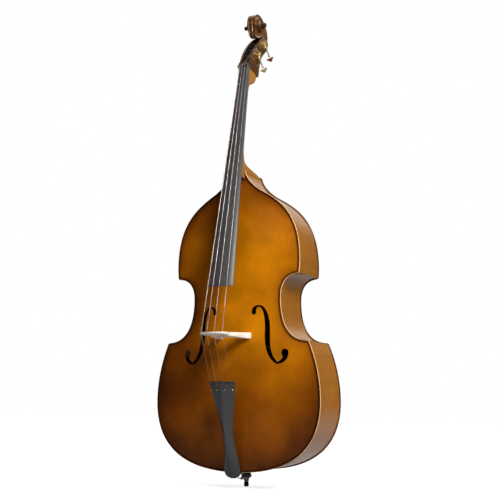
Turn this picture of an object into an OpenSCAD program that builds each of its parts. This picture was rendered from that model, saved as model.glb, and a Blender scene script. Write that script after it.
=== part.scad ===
// Double bass, three-quarter size, standing upright on its endpin.
// Inside the modules, lengths are measured from the body's datum: x from the centre line,
// y back from the edge of the front plate, z up from the body's lowest edge.
// stand() then puts that datum where the endpin's tip is the origin.

/* [Body] */
// Length of the body without the button
body_length = 1112; // [1112]
// Width of the lower bout
lower_bout = 672; // [660:1:684]
// Width of the waist
waist = 362; // [352:1:372]
// Width of the upper bout
upper_bout = 514; // [504:1:524]
// Depth over both edges at the tail
tail_depth = 200; // [190:1:206]
// Depth over both edges at the upper corners
corner_depth = 186; // [180:1:190]
// Depth over both edges at the neck
neck_depth = 148; // [144:1:152]
// Height of the front plate's arch
front_arch = 23; // [20:1:24]
// Height of the back plate's arch
back_arch = 20; // [14:1:24]
// Thickness of the plates
plate_t = 5; // [4:0.5:6]
// Thickness of the ribs
rib_t = 2.2; // [1.8:0.1:2.6]
// Overhang of the plates past the ribs
overhang = 4; // [3:0.5:5]

/* [Strings] */
// Height of the bridge above the body's lower edge
bridge_z = 487; // [480:1:494]
// Height of the strings' crown above the front plate's edge
string_height = 191; // [188:1:194]
// Half the spread of the outer strings at the bridge
bridge_spread = 42.4; // [40:0.2:44]
// Half the spread of the outer strings at the nut
nut_spread = 16.5; // [15:0.5:17]

/* [Fingerboard] */
// Height of the nut above the body's lower edge
nut_z = 1545; // [1545]
// Width of the fingerboard at the nut
board_nut_w = 44; // [43:0.5:45]
// Width of the fingerboard at its lower end
board_end_w = 96.6; // [92:0.2:100]
// Height of the fingerboard's lower end above the body's lower edge
board_end_z = 659; // [640:1:680]
// Thickness of the fingerboard's edges
board_t = 9; // [8:0.5:10]

/* [Tuners] */
// Teeth on each tuner wheel
wheel_teeth = 20; // [20]
// Pitch radius of the tuner wheels
wheel_r = 12.5; // [12:0.1:13]
// Mean radius of the worm
worm_r = 4.8; // [4.6:0.1:5]
// Distance from the worm's middle to the key's button
key_reach = 64; // [62:1:66]

/* [Endpin] */
// Height of the body's lower edge above the floor with the endpin pushed in
body_lift = 56; // [56]
// Depth of the endpin behind the front plate's edge
endpin_y = 98.5; // [98.5]
// Radius of the endpin rod
rod_r = 5; // [4.5:0.1:5.2]
// Length of the endpin rod
rod_length = 400; // [360:5:420]

/* [Hidden] */
$fn = 48;

varnish = [0.55, 0.28, 0.06];
dark_varnish = [0.36, 0.16, 0.05];
spruce = [0.86, 0.72, 0.48];
maple = [0.93, 0.87, 0.72];
ebony = [0.10, 0.10, 0.11];
brass = [0.78, 0.62, 0.30];
steel = [0.80, 0.80, 0.82];

// ---- curves ---------------------------------------------------------------

function bezier(p, t) =
  pow(1 - t, 3) * p[0] + 3 * pow(1 - t, 2) * t * p[1]
  + 3 * (1 - t) * t * t * p[2] + pow(t, 3) * p[3];

// Points of one curve or of several that follow each other, n steps in each.
function curve(p, n, first = 0) = [for (i = [first : n]) bezier(p, i / n)];
function path(list, n) = [for (k = [0 : len(list) - 1]) each curve(list[k], n, k == 0 ? 0 : 1)];
function reversed(v) = [for (i = [len(v) - 1 : -1 : 0]) v[i]];
function unit(v) = v / norm(v);
function mirrored(v) = [for (p = v) [-p[0], p[1]]];

// ---- the body's outline, one half, as x and z ------------------------------

lower_w = lower_bout / 2;
waist_w = waist / 2;
upper_w = upper_bout / 2;
lower_corner = [lower_w - 45, 468];
upper_corner = [upper_w - 3.5, 709];
shoulder = [105, 1027];
root = [32, body_length];

lower_curves = [
  [[0, 0], [173, 0], [lower_w, 53], [lower_w, 257]],
  [[lower_w, 257], [lower_w, 352], [lower_corner[0] + 17, 427], lower_corner]
];
middle_curves = [
  [lower_corner, [lower_corner[0] - 91, 468], [waist_w, 552], [waist_w, 625]],
  [[waist_w, 625], [waist_w, 673], [waist_w + 18, 708], upper_corner]
];
upper_curves = [
  [upper_corner, [upper_w - 1, 734], [upper_w, 745], [upper_w, 762]],
  [[upper_w, 762], [upper_w, 920], [189, 978], shoulder],
  [shoulder, [77, 1043], [34, 1080], root]
];
STEPS = 8;
lower_path = path(lower_curves, STEPS);
middle_path = path(middle_curves, STEPS);
upper_path = path(upper_curves, STEPS);

// Inward normals along a path that has the body on its left-hand side.
function normals(p, first, last) = [
  for (i = [0 : len(p) - 1])
    i == 0 && first != undef ? first :
    i == len(p) - 1 && last != undef ? last :
    let (d = unit(p[min(i + 1, len(p) - 1)] - p[max(i - 1, 0)])) [-d[1], d[0]]
];
// At a corner two ribs share the mitre, so their inner faces meet on it.
upper_mitre = [-0.93, 1];
lower_mitre = [-0.67, -1];
level_in = [0, 1];

function inset(p, n, d) = [for (i = [0 : len(p) - 1]) p[i] + d * n[i]];
lower_n = normals(lower_path, level_in, lower_mitre);
middle_n = normals(middle_path, lower_mitre, upper_mitre);
upper_n = normals(upper_path, upper_mitre, [-1, 0]);

// ---- depth of the body -----------------------------------------------------

corner_z = 709;
function back_edge(z) = z < corner_z
  ? tail_depth + (corner_depth - tail_depth) * z / corner_z
  : corner_depth + (neck_depth - corner_depth) * (z - corner_z) / (body_length - corner_z);
function long_arch(z) = pow(max(0, 1 - pow(abs(2 * z / body_length - 1), 3.2)), 0.8);
function arch(s, z) = long_arch(z) * pow(cos(90 * min(1, abs(s))), 1.3);
function half_width_at(z, p, i = 0) =
  p[i + 1][1] >= z || i == len(p) - 2
    ? p[i][0] + (p[i + 1][0] - p[i][0]) * (z - p[i][1]) / (p[i + 1][1] - p[i][1])
    : half_width_at(z, p, i + 1);
function front_face(x, z) = -front_arch * arch(x / half_width_at(z, middle_path), z);

// ---- helpers ---------------------------------------------------------------

module stand() { translate([0, -endpin_y, body_lift]) children(); }

// A flat shape drawn in x and z, thickened from y0 back to y1.
module deep(y0, y1) {
  translate([0, y1, 0]) rotate([90, 0, 0]) linear_extrude(y1 - y0) children();
}
// A flat shape drawn in y and z, thickened from x0 across to x1.
module across(x0, x1) {
  translate([x0, 0, 0]) rotate([90, 0, 90]) linear_extrude(x1 - x0) children();
}
module sided(side) { mirror([side < 0 ? 1 : 0, 0, 0]) children(); }

// A tube through the points given, with a mitred ring at each. Its path never runs along ref.
function heading(p, i) = unit(
  (i > 0 ? unit(p[i] - p[i - 1]) : [0, 0, 0])
  + (i < len(p) - 1 ? unit(p[i + 1] - p[i]) : [0, 0, 0])
);
module tube(points, r, ref, sides = 10) {
  loft([
    for (i = [0 : len(points) - 1])
      let (t = heading(points, i), u = unit(ref - (ref * t) * t), v = cross(t, u))
      [for (j = [0 : sides - 1]) points[i] + r * (cos(360 * j / sides) * u + sin(360 * j / sides) * v)]
  ]);
}

// A solid through a stack of rings that have the same number of points and no hollow side.
module loft(rings) {
  m = len(rings[0]);
  k = len(rings);
  polyhedron(
    points = [for (r = rings) each r],
    faces = concat(
      [[for (j = [0 : m - 1]) j]],
      [for (i = [0 : k - 2]) for (j = [0 : m - 1]) each [
        [i * m + j, (i + 1) * m + j, i * m + (j + 1) % m],
        [i * m + (j + 1) % m, (i + 1) * m + j, (i + 1) * m + (j + 1) % m]]],
      [[for (j = [m - 1 : -1 : 0]) (k - 1) * m + j]]
    )
  );
}

// A plate between two surfaces that are given as rows of points.
module shell(front, back) {
  r = len(front);
  c = len(front[0]);
  o = r * c;
  function at(i, j) = i * c + j;
  polyhedron(
    points = concat([for (a = front) each a], [for (a = back) each a]),
    faces = concat(
      [for (i = [0 : r - 2]) for (j = [0 : c - 2]) each [
        [at(i, j), at(i + 1, j), at(i, j + 1)],
        [at(i, j + 1), at(i + 1, j), at(i + 1, j + 1)],
        [o + at(i, j), o + at(i, j + 1), o + at(i + 1, j)],
        [o + at(i, j + 1), o + at(i + 1, j + 1), o + at(i + 1, j)]]],
      [for (i = [0 : r - 2]) each [
        [at(i, 0), o + at(i, 0), at(i + 1, 0)],
        [at(i + 1, 0), o + at(i, 0), o + at(i + 1, 0)],
        [at(i, c - 1), at(i + 1, c - 1), o + at(i, c - 1)],
        [at(i + 1, c - 1), o + at(i + 1, c - 1), o + at(i, c - 1)]]],
      [for (j = [0 : c - 2]) each [
        [at(0, j), at(0, j + 1), o + at(0, j)],
        [at(0, j + 1), o + at(0, j + 1), o + at(0, j)],
        [at(r - 1, j), o + at(r - 1, j), at(r - 1, j + 1)],
        [at(r - 1, j + 1), o + at(r - 1, j), o + at(r - 1, j + 1)]]]
    )
  );
}

// ---- plates ----------------------------------------------------------------

ACROSS = 16;
PLATE_PATH = concat(
  [for (i = [1 : len(lower_path) - 1]) lower_path[i]],
  [for (i = [1 : len(middle_path) - 1]) middle_path[i]],
  [for (i = [1 : len(upper_path) - 1]) upper_path[i]]
);
BUTTON_PATH = [[30, body_length + 5], [20, body_length + 9]];

function plate_rows(outline, lift, bow) = [
  for (p = outline) [
    for (j = [0 : ACROSS])
      let (s = 2 * j / ACROSS - 1)
      [s * p[0], lift(p[1]) + bow * arch(s, p[1]), p[1]]
  ]
];

heel_half = 26;
notch_z = 1085;

f_width = 22;
f_upper_eye = [81, 573];
f_lower_eye = [201.7, 424.6];
f_stem = path([
  [[100, 595.5], [121, 592], [133, 553], [133.3, 516]],
  [[133.3, 516], [133.5, 470], [135, 436], [151, 411]],
  [[151, 411], [158, 400], [167, 390], [177, 386.5]]
], 6);
f_upper_hook = concat(
  path([[[71.2, 574], [72, 590], [88, 598.5], [103, 598]]], 6),
  path([[[103, 592.5], [95, 591], [89, 584], [90.5, 576]]], 6)
);
f_lower_hook = concat(
  path([[[215.6, 420.5], [215, 404], [198, 384], [172, 385.2]]], 6),
  path([[[172, 391], [185, 394.5], [192, 404], [194, 413.5]]], 6)
);

module f_hole() {
  n = len(f_stem) - 1;
  translate(f_upper_eye) circle(r = 10);
  translate(f_lower_eye) circle(r = 14.2);
  polygon(f_upper_hook);
  polygon(f_lower_hook);
  half_w = [for (i = [0 : n]) f_width / 2 * (0.22 + 0.78 * pow(sin(180 * i / n), 0.6))];
  side = normals(f_stem, undef, undef);
  polygon(concat(
    [for (i = [0 : n]) f_stem[i] + half_w[i] * side[i]],
    [for (i = [n : -1 : 0]) f_stem[i] - half_w[i] * side[i]]
  ));
  translate([133.5, 486]) rotate(-5) square([f_width + 5, 3], center = true);
}

module top_plate() {
  color(varnish) stand() difference() {
    shell(
      plate_rows(PLATE_PATH, function (z) 0, -front_arch),
      plate_rows(PLATE_PATH, function (z) plate_t, -front_arch)
    );
    deep(-10, 20) translate([-heel_half - 0.3, notch_z]) square([2 * heel_half + 0.6, 60]);
    deep(-40, 20) f_hole();
    deep(-40, 20) mirror([1, 0]) f_hole();
    deep(-20, 20) translate([-saddle_w / 2, -10]) square([saddle_w, 10 + saddle_up]);
  }
}

module back_plate() {
  color(varnish) stand() shell(
    plate_rows(concat(PLATE_PATH, BUTTON_PATH), function (z) back_edge(z) - plate_t, back_arch),
    plate_rows(concat(PLATE_PATH, BUTTON_PATH), function (z) back_edge(z), back_arch)
  );
}

// ---- ribs, linings and blocks ----------------------------------------------

inner_z = [-20, corner_z, body_length + 40];
module between_plates(gap_front = 0, gap_back = 0) {
  across(-400, 400) polygon(concat(
    [[plate_t + gap_front, inner_z[0]], [plate_t + gap_front, inner_z[2]]],
    [for (z = reversed(inner_z)) [back_edge(z) - plate_t - gap_back, z]]
  ));
}

module strip(p, n, from, thick) {
  polygon(concat(inset(p, n, from), reversed(inset(p, n, from + thick))));
}

module rib(p, n) {
  intersection() {
    deep(0, 260) strip(p, n, overhang, rib_t);
    between_plates();
  }
}
module upper_rib(side) { color(dark_varnish) stand() sided(side) rib(upper_path, upper_n); }
module middle_rib(side) { color(dark_varnish) stand() sided(side) rib(middle_path, middle_n); }
module lower_rib(side) {
  color(dark_varnish) stand() sided(side) difference() {
    rib(lower_path, lower_n);
    translate([0, endpin_y, -10]) cylinder(h = 40, r = plug_r);
  }
}

inside = overhang + rib_t;
lining_t = 5;
lining_h = 18;

module lining_pair(p, n) {
  for (face = [0, 1])
    intersection() {
      deep(0, 260) strip(p, n, inside, lining_t);
      difference() {
        between_plates();
        between_plates(face == 0 ? lining_h : -1, face == 0 ? -1 : lining_h);
      }
    }
}

// The stretch of a path that runs from one step to another.
function part_of(v, a, b) = [for (i = [a : b]) v[i]];

module linings() {
  color(spruce) stand() for (side = [-1, 1]) sided(side) {
    lining_pair(part_of(upper_path, 5, 2 * STEPS), part_of(upper_n, 5, 2 * STEPS));
    lining_pair(part_of(middle_path, 5, 2 * STEPS - 6), part_of(middle_n, 5, 2 * STEPS - 6));
    lining_pair(part_of(lower_path, 3, 2 * STEPS - 3), part_of(lower_n, 3, 2 * STEPS - 3));
  }
}

module fitted_block() {
  intersection() {
    deep(0, 260) children();
    between_plates();
  }
}

tenon_half = 18;
tenon_z = 1050;
tenon_y = [12, 120];

module neck_block() {
  top = [for (i = [2 * STEPS + 1 : len(upper_path) - 1])
    if (upper_path[i][1] < notch_z + 12) upper_path[i] + (inside + 0.2) * upper_n[i]];
  outer = concat([[88, 1010], [84, 1028]], [for (p = top) if (p[0] < 84 && p[1] < notch_z) p]);
  color(spruce) stand() difference() {
    fitted_block() polygon(concat(
      outer, [[heel_half + 2, notch_z]], [[-heel_half - 2, notch_z]], reversed(mirrored(outer))
    ));
    translate([-tenon_half, tenon_y[0], tenon_z])
      cube([2 * tenon_half, tenon_y[1] - tenon_y[0], 60]);
  }
}

plug_r = 15;
plug_top = 48;
saddle_w = 64;
saddle_up = 12;

module tail_block() {
  bottom = [for (i = [0 : 3]) lower_path[i] + (inside + 0.2) * lower_n[i]];
  outer = concat([for (p = bottom) if (p[0] < 62) p], [[62, lookup(62, bottom)], [62, plug_top]]);
  color(spruce) stand() difference() {
    fitted_block() polygon(concat(outer, reversed(mirrored(outer))));
    translate([0, endpin_y, -1]) cylinder(h = plug_top + 10, r = plug_r);
  }
}

// A block that fills a corner from one rib round to the next, with a cut inner face.
module corner_block(p, n, a, b, p2, n2, c, d, face) {
  rim1 = [for (i = [a : b]) p[i] + (inside + 0.2) * n[i]];
  rim2 = [for (i = [c : d]) p2[i] + (inside + 0.2) * n2[i]];
  fitted_block() polygon(concat(rim1, rim2, face));
}
module upper_corner_block(side) {
  last = len(middle_path) - 1;
  color(spruce) stand() sided(side) corner_block(
    middle_path, middle_n, last - 2, last, upper_path, upper_n, 1, 4, [[232, 752], [208, 724]]
  );
}
module lower_corner_block(side) {
  last = len(lower_path) - 1;
  color(spruce) stand() sided(side) corner_block(
    lower_path, lower_n, last - 2, last, middle_path, middle_n, 1, 2, [[232, 460], [270, 418]]
  );
}

bar_x = 60;
module bass_bar() {
  top = [for (z = [200 : 50 : 900]) [front_inside(-bar_x, z) + 0.8, z]];
  bottom = [for (z = [900 : -50 : 200]) [front_inside(-bar_x, z) + 8 + 22 * sin(180 * (z - 200) / 700), z]];
  color(spruce) stand() across(-bar_x - 9, -bar_x + 9) polygon(concat(top, bottom));
}
// The inner face of the front plate over one point.
function whole_half_width(z) = half_width_at(z, PLATE_PATH);
function front_inside(x, z) = plate_t - front_arch * arch(x / whole_half_width(z), z) + 0.6;

post_x = 62;
post_z = bridge_z - 34;
module sound_post() {
  y0 = front_inside(post_x, post_z);
  y1 = back_edge(post_z) - plate_t + back_arch * arch(post_x / whole_half_width(post_z), post_z);
  color(spruce) stand() translate([post_x, y0, post_z]) rotate([-90, 0, 0])
    cylinder(h = y1 - y0 - 0.6, r = 9);
}

// ---- neck, fingerboard and head --------------------------------------------

board_slope = 0.179;
nut_y = 38;
nut_t = 9;
nut_rise = 1.8;
board_r = 75;
function board_edge(z) = nut_y - board_slope * (nut_z - z);
function board_half(z) =
  board_nut_w / 2 + (board_end_w - board_nut_w) / 2 * (nut_z - z) / (nut_z - board_end_z);
function crown(x, half) = (half * half - x * x) / (2 * board_r);

module fingerboard() {
  color(ebony) stand() loft([
    for (z = [board_end_z, nut_z]) let (w = board_half(z), y = board_edge(z)) concat(
      [for (j = [-5 : 5]) [w * j / 5, y - crown(w * j / 5, w), z]],
      [[w, y + board_t, z], [-w, y + board_t, z]]
    )
  ]);
}

module nut() {
  w = board_nut_w / 2;
  color(ebony) stand() translate([0, 0, nut_z]) linear_extrude(nut_t) polygon(concat(
    [for (j = [-5 : 5]) [w * j / 5, nut_y - nut_rise - crown(w * j / 5, w)]],
    [[w, nut_y + board_t], [-w, nut_y + board_t]]
  ));
}

// Rings of the neck: height, half width, back of the handle, and how square the back is.
neck_rings = [
  [notch_z, heel_half, back_edge(notch_z) - plate_t - 0.5, 0.25],
  [body_length, heel_half, back_edge(body_length) - plate_t, 0.25],
  [1121, heel_half, 142, 0.3],
  [1124, heel_half, 122, 0.4],
  [1130, 26, 82, 0.5],
  [1136, 26, 42, 0.6],
  [1143, 26, 22, 0.8],
  [1160, 25.5, 13, 1],
  [1300, 23.5, 34, 1],
  [1462, 21.5, 59, 1],
  [1478, 21.5, 66, 1],
  [1488, 21.5, 82, 0.95],
  [1498, 21.5, 103, 0.9],
  [1508, 21.5, 115, 0.85],
  [1519, 21.5, 120, 0.85],
  [1531, 21.5, 119, 0.85]
];
function neck_ring(r) =
  let (z = r[0], w = r[1], front = board_edge(min(z, nut_z)) + board_t, deep = r[2] - front)
  concat(
    [[-w, front, z], [w, front, z]],
    [for (a = [15 : 15 : 165])
      let (c = cos(a), s = sin(a))
      [w * sign(c) * pow(abs(c), r[3]), front + deep * (1 - r[3] * 0.5) + deep * r[3] * 0.5 * s, z]]
  );

// Side view of the pegbox and of the scroll, as y and z.
pegbox_front = curve([[41, 1554], [46, 1600], [92, 1660], [165, 1715]], 10);
pegbox_back = path([
  [[118, 1527], [124, 1560], [130, 1592], [144, 1616]],
  [[144, 1616], [154, 1634], [204, 1664], [204, 1714]]
], 7);
cavity_back = path([
  [[98, 1560], [104, 1580], [114, 1600], [128, 1618]],
  [[128, 1618], [142, 1636], [180, 1662], [185, 1694]]
], 6);
scroll_outline = path([
  [[204, 1714], [204, 1752], [176, 1803], [140, 1803]],
  [[140, 1803], [112, 1803], [96, 1775], [96, 1745]],
  [[96, 1745], [96, 1722], [95, 1697], [106, 1696]],
  [[106, 1696], [120, 1695], [142, 1706], [165, 1715]]
], 7);
pegbox_half = 25.5;
cavity_half = 16;
scroll_half = 17;
eye = [133, 1748];

module neck() {
  color(dark_varnish) stand() difference() {
    union() {
      loft([for (r = neck_rings) neck_ring(r)]);
      translate([-tenon_half, tenon_y[0], tenon_z])
        cube([2 * tenon_half, tenon_y[1] - tenon_y[0], notch_z - tenon_z + 10]);
      across(-pegbox_half, pegbox_half) polygon(concat(
        [[nut_y + board_t, 1527]], pegbox_back, reversed(pegbox_front), [[nut_y + board_t, 1554]]
      ));
      across(-scroll_half, scroll_half) polygon(scroll_outline);
      for (ear = [[36, 22], [26, 26], [16, 33], [9, 48]])
        translate([-ear[1], eye[0], eye[1]]) rotate([0, 90, 0]) cylinder(h = 2 * ear[1], r = ear[0]);
    }
    across(-cavity_half, cavity_half) polygon(concat(
      [[20, 1557], [60, 1557]], cavity_back, [[176, 1703], [120, 1703], [20, 1640]]
    ));
    for (t = TUNERS) at_tuner(t) {
      translate([-pegbox_half + cavity_half - 1, 0, 0]) rotate([0, 90, 0])
        cylinder(h = 20, r = barrel_r + 0.05);
      translate([-pegbox_half - cavity_half - 8, 0, 0]) rotate([0, 90, 0])
        cylinder(h = 20, r = journal_r + 0.05);
    }
  }
}

// ---- tuners ----------------------------------------------------------------

// Each one: side, and the place of its roller in the pegbox as y and z.
TUNERS = [
  [-1, [76, 1568]],
  [-1, [133, 1649]],
  [1, [162.6, 1683]],
  [1, [104.6, 1616]]
];
key_tilt = 36.87;
// How far each key stands turned about its own shaft.
key_rest = 34;
barrel_r = 6.5;
journal_r = 4.5;
plate_th = 2;
wheel_x = 9;
wheel_w = 6;
tooth = 0.9;
mesh_gap = 0.3;
centre_gap = wheel_r + worm_r + mesh_gap;
worm_pitch = 2 * PI * wheel_r / wheel_teeth;
worm_turns = 4;
worm_length = worm_turns * worm_pitch;
shaft_r = 3;
post_w = 4;
post_y = worm_length / 2 + 1.5;
plate_hole_r = 1.6;
PLATE_HOLES = [[-20, 7], [24, 7], [-20, -22], [24, -22]];

// x runs out from the cheek, y along the worm towards the button, z away from the worm.
module at_tuner(t) {
  sided(t[0]) translate([pegbox_half, t[1][0], t[1][1]]) rotate([-key_tilt, 0, 0]) children();
}
module at_worm() { translate([wheel_x, 0, -centre_gap]) rotate([-90, 0, 0]) children(); }

module tuner_plate(t) {
  color(brass) stand() at_tuner(t) difference() {
    union() {
      rotate([90, 0, 90]) linear_extrude(plate_th) difference() {
        union() {
          translate([-24, -18]) square([52, 29]);
          translate([-20, -26]) square([44, 41]);
          for (h = PLATE_HOLES) translate(h) circle(r = 4);
        }
      }
      for (y = [-post_y - post_w, post_y]) {
        translate([plate_th / 2, y, -centre_gap - 5]) cube([wheel_x - plate_th / 2, post_w, 10]);
        translate([wheel_x, y, -centre_gap]) rotate([-90, 0, 0]) cylinder(h = post_w, r = 5);
      }
    }
    at_worm() cylinder(h = 60, r = shaft_r + 0.05, center = true);
    rotate([0, 90, 0]) cylinder(h = 10, r = barrel_r - 1.45, center = true);
    for (h = PLATE_HOLES)
      translate([0, h[0], h[1]]) rotate([0, 90, 0]) cylinder(h = 10, r = plate_hole_r, center = true);
  }
}

module worm_shaft(t) {
  color(brass) stand() at_tuner(t) at_worm() {
    loft([
      for (i = [-4 * worm_turns : 4 * worm_turns])
        let (turn = 45 * i - 90, z = worm_pitch * i / 8)
        [for (j = [0 : 11]) [
          tooth * cos(turn) + worm_r * cos(30 * j), tooth * sin(turn) + worm_r * sin(30 * j), z
        ]]
    ]);
    translate([0, 0, -worm_length / 2 - 7]) cylinder(h = worm_length / 2 + 7 + key_reach - 12, r = shaft_r);
    translate([0, 0, key_reach - 20]) cylinder(h = 8, r1 = shaft_r, r2 = 4.5);
  }
}

module key_button(t) {
  color(brass) stand() at_tuner(t) at_worm() rotate([0, 0, -key_rest]) translate([0, 0, key_reach]) rotate([90, 0, 0])
    translate([0, 0, -2.5]) linear_extrude(5) {
      translate([-8.5, 0]) circle(r = 7.5);
      translate([8.5, 0]) circle(r = 7.5);
      translate([0, 3]) circle(r = 8);
      translate([-5, -12]) square([10, 10]);
    }
}

module worm_wheel(t) {
  color(brass) stand() at_tuner(t) translate([wheel_x - wheel_w / 2, 0, 0]) difference() {
    rotate([90, 0, 90]) linear_extrude(wheel_w) polygon([
      for (i = [0 : 6 * wheel_teeth - 1])
        let (a = 60 * i / wheel_teeth, r = wheel_r - tooth * cos(wheel_teeth * a + 90 * wheel_teeth))
        r * [cos(a), sin(a)]
    ]);
    rotate([0, 90, 0]) cylinder(h = 30, r = 3.5, center = true);
  }
}

string_hole_r = 1.8;
module roller(t) {
  far = 2 * pegbox_half - 3;
  color(brass) stand() at_tuner(t) difference() {
    union() {
      translate([-far, 0, 0]) rotate([0, 90, 0]) cylinder(h = 20, r = journal_r);
      translate([-pegbox_half - cavity_half + 1, 0, 0]) rotate([0, 90, 0])
        cylinder(h = pegbox_half + cavity_half - 1.5, r = barrel_r);
      translate([-1, 0, 0]) rotate([0, 90, 0]) cylinder(h = wheel_x - wheel_w / 2 + 1, r = 5);
      translate([0, 0, 0]) rotate([0, 90, 0]) cylinder(h = wheel_x + wheel_w / 2, r = 3.5);
    }
    translate([-pegbox_half, 0, 0]) rotate([90, 0, 0])
      cylinder(h = 30, r = string_hole_r, center = true);
    translate([wheel_x - 6, 0, 0]) rotate([0, 90, 0]) cylinder(h = 20, r = 1.5);
  }
}

module wheel_screw(t) {
  color(brass) stand() at_tuner(t) translate([wheel_x + wheel_w / 2, 0, 0]) rotate([0, 90, 0])
    difference() {
      union() {
        cylinder(h = 2, r = 5.5);
        translate([0, 0, -9]) cylinder(h = 10, r = 1.5);
      }
      translate([-6, -0.5, 1.2]) cube([12, 1, 2]);
    }
}

module plate_screws() {
  color(brass) stand() for (t = TUNERS) at_tuner(t) for (h = PLATE_HOLES)
    translate([plate_th, h[0], h[1]]) rotate([0, 90, 0]) difference() {
      union() {
        cylinder(h = 1.6, r = 3);
        translate([0, 0, -plate_th]) cylinder(h = plate_th + 0.5, r = plate_hole_r);
      }
      translate([-4, -0.4, 1]) cube([8, 0.8, 2]);
    }
}

// ---- bridge, strings and tail ----------------------------------------------

string_r = [1.35, 1.1, 0.9, 0.75];
STRING_X = [-1, -1 / 3, 1 / 3, 1];
bridge_round = 82;
roller_x = [-8, -3, 3, 8];

function string_rise(x) = -string_height + x * x / (2 * bridge_round) - 1;
function tail_edge(z) = -12 - 0.28 * z;
function tail_half(z) = lookup(z, tail_widths);
function tail_ridge(z) = lookup(z, tail_ridges);
tail_widths = [[-19, 10], [-15, 20], [-8, 28], [3, 31.5], [14, 32], [40, 30], [70, 26.5],
  [110, 22.5], [150, 22], [193, 28], [250, 39.5], [291, 49], [321, 54.5]];
tail_ridges = [[-19, 8], [11, 15], [82, 27], [187, 24], [256, 21], [321, 17]];

function string_points(i) =
  let (
    xb = bridge_spread * STRING_X[i],
    xn = nut_spread * STRING_X[i],
    r = string_r[i],
    surface = tail_edge(314) - tail_ridge(314) * (1 - abs(xb) / tail_half(314)),
    drum = [TUNERS[i][1][0], TUNERS[i][1][1]],
    yn = nut_y - nut_rise - crown(xn, board_nut_w / 2),
    start = [yn + 1, nut_z + nut_t - 1],
    d = unit(drum - start),
    gap = barrel_r + r + 0.35
  )
  [
    [xb, surface + 9, 300],
    [xb, surface - r - 0.6, 314],
    [xb, string_rise(xb), bridge_z],
    [xn, yn, nut_z + 1],
    [xn, start[0], start[1]],
    [roller_x[i], drum[0] - gap * d[1], drum[1] + gap * d[0]]
  ];

module string(i) { color(steel) stand() tube(string_points(i), string_r[i], [1, 0, 0]); }

foot_x = 74;
foot_in = 42;
crown_half = 49;
// Half of the bridge's outline, from the middle of its crown down its side to the middle of its arch.
bridge_half = concat(
  [for (j = [0 : 6]) [crown_half * j / 6, string_rise(crown_half * j / 6)]],
  curve([[50, -176], [54, -150], [44, -140], [38, -126]], 5),
  curve([[38, -112], [50, -104], [60, -90], [60, -74]], 6),
  curve([[60, -74], [60, -52], [66, -40], [foot_x, -30]], 5, 1),
  [for (x = [foot_x : -8 : foot_in]) [x, front_face(x, bridge_z) - 0.4]],
  [[foot_in, front_face(foot_in, bridge_z) - 10]],
  curve([[36, -32], [30, -52], [12, -66], [0, -66]], 6)
);

module bridge() {
  color(maple) stand() difference() {
    intersection() {
      translate([0, 0, bridge_z - 20]) linear_extrude(40)
        polygon(concat(bridge_half, [for (p = reversed(bridge_half)) if (p[0] > 0) [-p[0], p[1]]]));
      across(-90, 90) polygon([
        [0, bridge_z - 11], [0, bridge_z + 11], [-30, bridge_z + 11],
        [-200, bridge_z + 3], [-200, bridge_z - 3], [-30, bridge_z - 11]
      ]);
    }
    translate([0, 0, bridge_z - 20]) linear_extrude(40) {
      for (s = [-1, 1]) translate([s * 21, -112]) circle(r = 9);
      translate([0, -112]) circle(r = 6);
    }
  }
}

module tailpiece() {
  zs = [for (w = tail_widths) w[0]];
  color(ebony) stand() difference() {
    loft([for (z = zs) let (w = tail_half(z), y = tail_edge(z), h = tail_ridge(z)) [
      [-w, y + 4, z], [-w, y, z], [-w / 2, y - h * 0.52, z], [-3, y - h + 0.6, z],
      [3, y - h + 0.6, z], [w / 2, y - h * 0.52, z], [w, y, z], [w, y + 4, z]
    ]]);
    for (i = [0 : 3]) {
      p = string_points(i);
      pitch = atan2(p[0][2] - p[1][2], p[0][1] - p[1][1]);
      translate(p[1]) rotate([pitch - 90, 0, 0]) cylinder(h = 60, r = 3);
    }
    for (s = [-1, 1]) {
      p = cord_strand(s);
      pitch = atan2(p[0][2] - p[1][2], p[0][1] - p[1][1]);
      translate(p[1]) rotate([pitch - 90, 0, 0]) cylinder(h = 40, r = cord_r + 0.2);
    }
  }
}

cord_r = 2;
cord_x = 8;
groove_r = 13;
groove_z = -6.2;

loop_r = groove_r + cord_r + 0.1;
function cord_strand(s) = [
  [cord_x * s, -19, 24], [cord_x * s, -7.2, 4], [cord_x * s, -6.3, -3], [cord_x * s, -2.5, groove_z]
];

// Up one strand, round the plug's groove and back along the other.
module tail_cord() {
  loop = [for (a = [0 : 15 : 180]) [loop_r * cos(a), endpin_y + loop_r * sin(a), groove_z]];
  color(ebony) stand()
    tube(concat(cord_strand(1), loop, reversed(cord_strand(-1))), cord_r, [0, 0, 1]);
}

module saddle() {
  color(ebony) stand() across(-saddle_w / 2 + 0.2, saddle_w / 2 - 0.2) polygon([
    [plate_t, 0], [plate_t, saddle_up - 0.2], [-2, saddle_up - 0.2], [-4.6, 8],
    [-4.6, 0], [-3.2, -2.6], [-1, -3.6], [2, -3.6]
  ]);
}

// ---- endpin ----------------------------------------------------------------

plug_bottom = -23;
collar_bottom = -38.5;
screw_z = -28;
wing_x = 20.5;

module at_endpin() { translate([0, endpin_y, 0]) children(); }

module endpin_plug() {
  color(ebony) stand() at_endpin() difference() {
    union() {
      translate([0, 0, plug_bottom]) cylinder(h = 3, r1 = 16, r2 = 19);
      translate([0, 0, plug_bottom + 3]) cylinder(h = 11, r = 19);
      translate([0, 0, groove_z - 3.5]) cylinder(h = 8, r = groove_r);
      translate([0, 0, groove_z + 3.5]) cylinder(h = overhang - groove_z - 3.5, r = 18);
      cylinder(h = plug_top + 6, r = plug_r);
    }
    translate([0, 0, plug_bottom - 1]) cylinder(h = 100, r = rod_r + 0.05);
    translate([0, 0, plug_bottom - 1]) cylinder(h = 13, r = 9);
  }
}

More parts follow.
